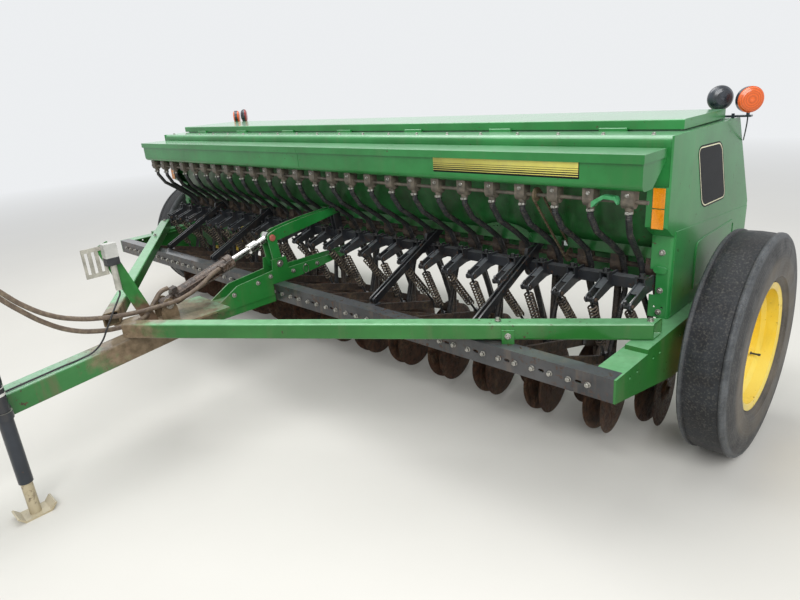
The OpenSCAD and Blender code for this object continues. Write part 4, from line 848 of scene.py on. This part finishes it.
# %% [markdown]
# Bolts show everywhere on such a machine. One hexagon bolt with its washer is drawn once: a
# six-sided head whose rim is chamfered by an inset, on a bevelled round washer. It is then spread
# over the machine: two beside each row on the front channel, a row along the deck, the flanges of
# the end panels, the tops of the frame's tubes, the small plates on their faces, the mast, and the
# cups.

# %% The bolt and its places
def hex_bolt(across, washer):
    """A bolt's head on its washer, from the head's width across flats and the washer's radius."""
    head = draw(bpy.ops.mesh.primitive_cylinder_add, vertices=6, radius=across / 1.732,
                depth=0.6 * across, location=(0, 0, 0.3 * across + 0.002))
    edit_faces(head, lambda middle, normal: normal.z > 0.9)
    bpy.ops.mesh.inset(thickness=0.1 * across)
    bpy.ops.transform.translate(value=(0, 0, 0.07 * across))
    close_edit(head, 20)
    return joined([head, turned([(washer, 0.0), (washer, 0.0018), (0.9 * washer, 0.0025)], 14)])


# Faces and rows that carry bolts, in millimetres from the wheels' axis.
CHANNEL_FACE, CHANNEL_MIDDLE, BESIDE_ROW = -872, 576, 38
DECK_ROW, DECK_TOP, DECK_STEP, DECK_BOLTS = -330, 1376, 200, 20
CUP_FACE, CUP_LUG = -546, 1186
FLANGE_X, FLANGE_FACE = 1950, -296
TUBE_TOP = 708.8
MAST_SIDE = 48
TUBE_FACES = {side: Vector((side * 0.5367, -0.8438, 0)) for side in SIDES}
PLATE_HALF = 0.003  # half a tube plate's thickness, in metres
channel = [seat(from_axle(1000 * x + side * BESIDE_ROW, CHANNEL_FACE, CHANNEL_MIDDLE), FORWARD)
           for x in ROW_X for side in SIDES]
deck = [seat(from_axle(DECK_STEP * (i - (DECK_BOLTS - 1) / 2), DECK_ROW, DECK_TOP))
        for i in range(DECK_BOLTS)]
cups = [seat(from_axle(1000 * x, CUP_FACE, CUP_LUG), FORWARD) for x in ROW_X]
flange = [seat(from_axle(side * FLANGE_X, FLANGE_FACE, z), FORWARD) for side in SIDES
          for z in (917, 758, 665)]
tube_tops = [seat(from_axle(side * x, y, TUBE_TOP)) for side in SIDES
             for x, y in ((2004, -505), (1520, -813))]
mast = [seat(from_axle(side * MAST_SIDE, y, z), OUTWARD[side]) for side in SIDES
        for y, z in ((-1129, 634), (-975, 658), (-890, 672), (-735, 664), (-560, 664))]
lifted = Matrix.Translation((0, 0, PLATE_HALF))
plates = [seat(from_axle(side * 1572, -820.3, 650), face) @ lifted
          for side, face in TUBE_FACES.items()]
on_plates = [move @ Matrix.Translation((0, 0.006, PLATE_HALF)) for move in plates]
print(len(channel + deck + cups + flange + tube_tops + mast + on_plates), "bolts")

# %% Bolts and small plates
body = flange + tube_tops + mast + on_plates
tube_plate = plate((0.050, 0.062, 2 * PLATE_HALF), 0.001)
for name, shape, places, finish, slot in (
        ("channel_bolts", hex_bolt(0.016, 0.011), channel, zinc, "grey_metal"),
        ("deck_bolts", hex_bolt(0.011, 0.009), deck, zinc, "grey_metal"),
        ("body_bolts", hex_bolt(0.016, 0.013), body, zinc, "grey_metal"),
        ("tube_plates", tube_plate, plates, enamel_frame, "body_paint"),
        ("cup_bolts", hex_bolt(0.01, 0.008), cups, turned_steel, "grey_metal")):
    finish_piece(spread(shape, places), name, finish, "frame")

# %% [markdown]
# The rockshaft carries two plates a row. A bolted bridge clamps each pair round the square bar,
# and a pin with a domed head goes through the tips, where the rod hangs. Bridges and pins turn
# with the rockshaft.

# %% Clamps and pins of the rockshaft
BRIDGE_THICK = 0.005
bridge = moved(plate((0.046, 0.026, BRIDGE_THICK), 0.001),
               Matrix.Translation((0, 0, BRIDGE_THICK / 2)))
nut = moved(hex_bolt(0.019, 0.012), Matrix.Translation((0, 0, BRIDGE_THICK)))
BAR_Y, BAR_TOP, PIN_ASIDE = -372, 824, 20
tops = [seat(from_axle(1000 * x, BAR_Y, BAR_TOP)) for x in ROW_X]
finish_piece(spread(joined([bridge, nut]), tops), "rockshaft_clamps", enamel_black, "rockshaft")
pin = turned([(0.0095, 0.0), (0.0095, 0.004), (0.0075, 0.007), (0.003, 0.008)], 12)
tips = [seat(from_axle(1000 * x + side * PIN_ASIDE, ARM_TIP.y, ARM_TIP.z), OUTWARD[side])
        for x in ROW_X for side in SIDES]
finish_piece(spread(pin, tips), "rockshaft_pins", arm_steel, "rockshaft")

# %% [markdown]
# A worm-drive band holds each rubber tube on its cup. It is a strip of thin steel bent to a ring,
# with a small screw housing in front. The ring is an open cylinder that Solidify gives its
# thickness.

# %% Hose clamps
NECK_Y, NECK_Z = -521, 1119
band = draw(bpy.ops.mesh.primitive_cylinder_add, vertices=18, radius=0.0142, depth=0.009,
            end_fill_type="NOTHING")
wall = band.modifiers.new("wall", "SOLIDIFY")
wall.thickness = 0.0012
wall.offset = 1
bpy.ops.object.modifier_apply(modifier="wall")
housing = moved(plate((0.016, 0.007, 0.011), 0.0015, 1), Matrix.Translation((0, -0.018, 0)))
necks = [Matrix.Translation(from_axle(1000 * x, NECK_Y, NECK_Z)) for x in ROW_X]
finish_piece(spread(joined([band, housing]), necks), "tube_clamps", zinc, "frame")

# %% [markdown]
# Amber reflectors sit on the front flange of both end panels: moulded plates in two parts, with a
# shallow frame that an inset and a small push give them.

# %% Reflectors
REFLECTOR_X, REFLECTOR_Y, REFLECTOR_Z = 1954, -378.2, (1149, 1069)
reflector = plate((0.046, 0.004, 0.076), 0.0012)
edit_faces(reflector, lambda middle, normal: normal.y < -0.9 and abs(middle.x) < 0.01)
bpy.ops.mesh.inset(thickness=0.003)
bpy.ops.transform.translate(value=(0, 0.0008, 0))
flanges = [Matrix.Translation(from_axle(side * REFLECTOR_X, REFLECTOR_Y, z))
           for side in SIDES for z in REFLECTOR_Z]
finish_piece(spread(close_edit(reflector), flanges), "amber_reflectors", amber_sheet, "frame")

# %% [markdown]
# Each end panel carries a black film with a cream border, leaning back with the box, and nothing
# is written on it. A plane is brought to the four measured corners, its corners are rounded by a
# vertex bevel, and two insets part the border from the field. The border's faces, which come last,
# take a second finish.

# %% Plain plates on the end panels
PANEL_SKIN = 1990.5
CORNER_R, FILM_THICK, BLACK_EDGE, CREAM_BORDER = 0.045, 0.0006, 0.006, 0.005
PLATE_CORNERS = ((-122, 1309), (163, 1300), (281, 1036), (-19, 1044))
for side, name in ((1, "end_plate_left"), (-1, "end_plate_right")):
    film = draw(bpy.ops.mesh.primitive_plane_add, size=1)
    order = [film.data.vertices[i] for i in (0, 1, 3, 2)]
    for vertex, (y, z) in zip(order, PLATE_CORNERS):
        vertex.co = from_axle(side * PANEL_SKIN, y, z)
    edit_all()
    bpy.ops.mesh.bevel(offset=CORNER_R, segments=6, affect="VERTICES")
    bpy.ops.mesh.select_all(action="SELECT")
    rise = (side * FILM_THICK, 0, 0)
    bpy.ops.mesh.extrude_region_move(TRANSFORM_OT_translate={"value": rise})
    bpy.ops.mesh.inset(thickness=BLACK_EDGE)
    bpy.ops.mesh.inset(thickness=CREAM_BORDER)
    close_edit(film)
    finish_piece(film, name, film_black, "frame")
    film.data.materials.append(film_cream)
    flat = [face for face in film.data.polygons
            if abs(face.normal.x) > 0.9 and len(face.vertices) == 4]
    for face in sorted(flat, key=lambda face: face.index)[-len(flat) // 2:]:
        face.material_index = 1

# %% [markdown]
# A striped film runs along the front of the near grass box: cream yellow, with black lines that
# grow thicker towards a black edge below. One strip is cut level by level by bisect, and the faces
# between the cuts take the black finish in turn, as does a narrow edge at its end.

# %% Striped film on the grass box
BOX_FACE = from_axle(0, -568.4, 0).y
BAND_X = (1.008, 1.727)
BAND_Z = (1.240, 1.306)
END_X = BAND_X[1] - 0.004
BLACK_LINES = ((1.2400, 1.2475), (1.2505, 1.2560), (1.2600, 1.2640), (1.2690, 1.2718),
               (1.2780, 1.2798), (1.3045, 1.3060))
stripes = draw(bpy.ops.mesh.primitive_plane_add, size=1, rotation=(math.pi / 2, 0, 0))
stripes.scale = (BAND_X[1] - BAND_X[0], 1, BAND_Z[1] - BAND_Z[0])
stripes.location = (sum(BAND_X) / 2, BOX_FACE, sum(BAND_Z) / 2)
bpy.ops.object.transform_apply()
bpy.ops.object.mode_set(mode="EDIT")
for height in sorted({z for line in BLACK_LINES for z in line} - set(BAND_Z)):
    bpy.ops.mesh.select_all(action="SELECT")
    bpy.ops.mesh.bisect(plane_co=(0, 0, height), plane_no=(0, 0, 1))
bpy.ops.mesh.select_all(action="SELECT")
bpy.ops.mesh.bisect(plane_co=(END_X, 0, 0), plane_no=(1, 0, 0))
close_edit(stripes)
finish_piece(stripes, "striped_film", film_yellow, "frame")
stripes.data.materials.append(film_black)
for face in stripes.data.polygons:
    inside = any(low < face.center.z < high for low, high in BLACK_LINES)
    if inside or face.center.x > END_X:
        face.material_index = 1
thickness = stripes.modifiers.new("film", "SOLIDIFY")
thickness.thickness = 0.0004
thickness.offset = 0
only(stripes)
bpy.ops.object.modifier_apply(modifier="film")

# %% [markdown]
# The link that turns the rockshaft is held at its front by a pin with a faded red nylon bushing at
# both ends. The cylinder's foot and the lever's foot turn on pins with washers. All of these are
# turned pieces.

# %% Bushings and pins of the lift
LEVER_TOP, LEVER_FOOT, CYLINDER_FOOT = (-837, 879), (-817, 729), (-1480, 692)
LEVER_SIDE = 37
bushing = turned([(0.012, 0.0), (0.018, 0.001), (0.018, 0.009), (0.013, 0.011), (0.013, 0.0125),
                  (0.004, 0.013)], 20)
ends = [seat(from_axle(side * LEVER_SIDE, *LEVER_TOP), OUTWARD[side]) for side in SIDES]
finish_piece(spread(bushing, ends), "link_bushings", bushing_nylon, "lift_lever")
washer = turned([(0.021, 0.0), (0.021, 0.003), (0.0135, 0.0032), (0.0135, 0.009),
                 (0.011, 0.011)], 18)
ends = [seat(from_axle(side * MAST_SIDE, *foot), OUTWARD[side]) for side in SIDES
        for foot in (CYLINDER_FOOT, LEVER_FOOT)]
finish_piece(spread(washer, ends), "lift_pins", turned_steel, "frame")

# %% [markdown]
# The mast's side carries a spare lock pin with its ring of round wire. The ring is a torus with
# few sides that is pressed oval, and the pin's turned head sits at its top.

# %% Lock pin on the mast
RING_R, RING_WIRE_R = 0.025, 0.0022
lock = turned([(0.006, 0.0), (0.006, 0.010), (0.0045, 0.012), (0.0035, 0.0125)], 12)
moved(lock, seat((0, 0, 0.024), OUTWARD[1]))
ring = draw(bpy.ops.mesh.primitive_torus_add, major_segments=16, minor_segments=6,
            major_radius=RING_R, minor_radius=RING_WIRE_R, location=(0.0055, 0, 0),
            rotation=(0, math.pi / 2, 0))
edit_all()
bpy.ops.transform.resize(value=(1, 0.8, 1), center_override=(0, 0, 0))
lock = joined([close_edit(ring, 60), lock])
moved(lock, Matrix.Translation(from_axle(MAST_SIDE, -648, 655)))
finish_piece(lock, "mast_lock_pin", zinc, "frame")

# %% [markdown]
# Each wheel is held by six nuts round its hub, and a valve stem stands in the rim's well. They
# turn with the wheel, so they ride on it.

# %% Wheel nuts and valves
NUT_CIRCLE = 0.058
VALVE = [(0.007, 0.0), (0.007, 0.004), (0.0042, 0.007), (0.0042, 0.03), (0.0055, 0.031),
         (0.0055, 0.04), (0.004, 0.042)]
for side, name in ((1, "left"), (-1, "right")):
    low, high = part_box(f"rim_{name}")
    middle = (low + high) / 2
    nuts = []
    for angle in [i * math.pi / 3 for i in range(6)]:
        aside = Vector((side * 0.002, NUT_CIRCLE * math.cos(angle), NUT_CIRCLE * math.sin(angle)))
        nuts.append(seat(middle + aside, OUTWARD[side]))
    finish_piece(spread(hex_bolt(0.022, 0.016), nuts), f"wheel_nuts_{name}", zinc,
                 f"wheel_{name}")
    foot = middle + Vector((side * 0.001, 0.170, -0.113))
    stem = moved(turned(VALVE, 12), seat(foot, OUTWARD[side]))
    finish_piece(stem, f"valve_{name}", lamp_plastic, f"wheel_{name}")

# %% [markdown]
# Two white film bands mark the jack near its top. They are thin sleeves that stand a fraction of a
# millimetre proud of the tube.

# %% Bands on the jack
JACK_HEAD = 0.104
DRAWBAR_HALF, JACK_ASIDE, JACK_Y = 56, 68, -2280
tube_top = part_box("jack_tube")[1].z - JACK_HEAD
jack_axis = from_axle(DRAWBAR_HALF + JACK_ASIDE, JACK_Y, 0)
sleeve = turned([(0.0290, 0.0), (0.0294, 0.0002), (0.0294, 0.0118), (0.0290, 0.012)], 32)
levels = [Matrix.Translation((jack_axis.x, jack_axis.y, tube_top - drop))
          for drop in (0.030, 0.062)]
finish_piece(spread(sleeve, levels), "jack_bands", film_white, "jack")

# %% [markdown]
# The footboard behind the box has a tread of low round buttons, so that a boot holds on it. Each
# is a flat dome with eight sides, spread in four staggered rows.

# %% Tread of the footboard
BOARD_Y, BOARD_TOP, BUTTON_STEP, ROW_STEP = 668, 565.8, 48, 36
button = turned([(0.009, 0.0), (0.008, 0.0012), (0.005, 0.002)], 8)
buttons = [from_axle(BUTTON_STEP * (i - 40 + row % 2 / 2), BOARD_Y + ROW_STEP * row, BOARD_TOP)
           for i in range(81) for row in range(4)]
finish_piece(spread(button, [Matrix.Translation(place) for place in buttons]),
             "footboard_tread", enamel_green, "frame")

# %% [markdown]
# The studio is a pale floor that keeps the machine's shadow and a pale surround that the camera
# and reflections see. The surround's own light on the machine is dimmer than it looks to the
# camera, which Light Path's ray types allow. Far from the machine the floor fades into it, so that
# no horizon shows.

# %% Floor
FLOOR_SIZE = 60
FADE = (3.0, 13.0)
SURROUND = "#f2f4f6"
SURROUND_SEEN, SURROUND_LIGHT = 0.95, 0.62
floor = draw(bpy.ops.mesh.primitive_plane_add, size=FLOOR_SIZE)
floor.name = "studio_floor"
floor_finish, tree, place = start_finish("matt_floor_paint")
rays = tree.nodes.new("ShaderNodeLightPath").outputs
seen = add_node(tree, "Math", {0: rays["Is Camera Ray"], 1: rays["Is Glossy Ray"]},
                operation="MAXIMUM")
away = add_node(tree, "VectorMath", {0: place}, "Value", operation="LENGTH")
away = add_node(tree, "MapRange", {"Value": away, "From Min": FADE[0], "From Max": FADE[1]})
fading = add_node(tree, "Math", {0: seen, 1: away}, operation="MULTIPLY")
glow = add_node(tree, "Math", {0: fading, 1: SURROUND_SEEN}, operation="MULTIPLY")
paint = coat(tree, stains(tree, place, 1.5, 0.3, 0.7), "#d2d0ca", "#d6d4ce")
end_finish(tree, stains(tree, place, 0.01, 0.3, 0.7), 0.0001, Roughness=0.9, Metallic=0.0,
           Base_Color=coat(tree, fading, paint, "#000000"), Specular_IOR_Level=0.0,
           Emission_Color=SURROUND, Emission_Strength=glow)
floor.data.materials.append(floor_finish)
floor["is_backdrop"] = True
print("floor of", FLOOR_SIZE, "metres")

# %% Surround
world = bpy.data.worlds.new("surround")
world.use_nodes = True
tree = world.node_tree
tree.nodes.clear()
rays = tree.nodes.new("ShaderNodeLightPath").outputs
seen = add_node(tree, "Math", {0: rays["Is Camera Ray"], 1: rays["Is Glossy Ray"]},
                operation="MAXIMUM")
seen = add_node(tree, "Math", {0: seen, 1: rays["Is Transmission Ray"]}, operation="MAXIMUM")
strength = add_node(tree, "MapRange", {
    "Value": seen, "To Min": SURROUND_LIGHT, "To Max": SURROUND_SEEN})
sky = add_node(tree, "Background", {"Color": SURROUND, "Strength": strength})
tree.links.new(sky, tree.nodes.new("ShaderNodeOutputWorld").inputs["Surface"])
bpy.context.scene.world = world
print("surround")

# %% [markdown]
# The light is soft and comes from above, as under an even overcast sky: one wide round lamp high
# behind the camera lights the front and rounds the tyres, and one overhead fills in. Both are
# turned towards the middle of the machine.

# %% Lamps of the studio
AIM = Vector((0, 0.8, 0.8))
for name, place, size, power in (("key_light", (5.5, -3.6, 5.2), 5.0, 380),
                                 ("top_light", (-1.0, 1.0, 6.0), 6.0, 320)):
    lamp = bpy.data.lights.new(name, "AREA")
    lamp.shape = "DISK"
    lamp.size = size
    lamp.energy = power
    light = bpy.data.objects.new(name, lamp)
    bpy.context.scene.collection.objects.link(light)
    aim = (AIM - Vector(place)).to_track_quat("-Z", "Y").to_matrix().to_4x4()
    light.matrix_world = Matrix.Translation(place) @ aim
    print(name, "gives", power, "watts")
bpy.context.scene.view_settings.view_transform = "Standard"

# %% Sizes of the shown objects
low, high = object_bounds()
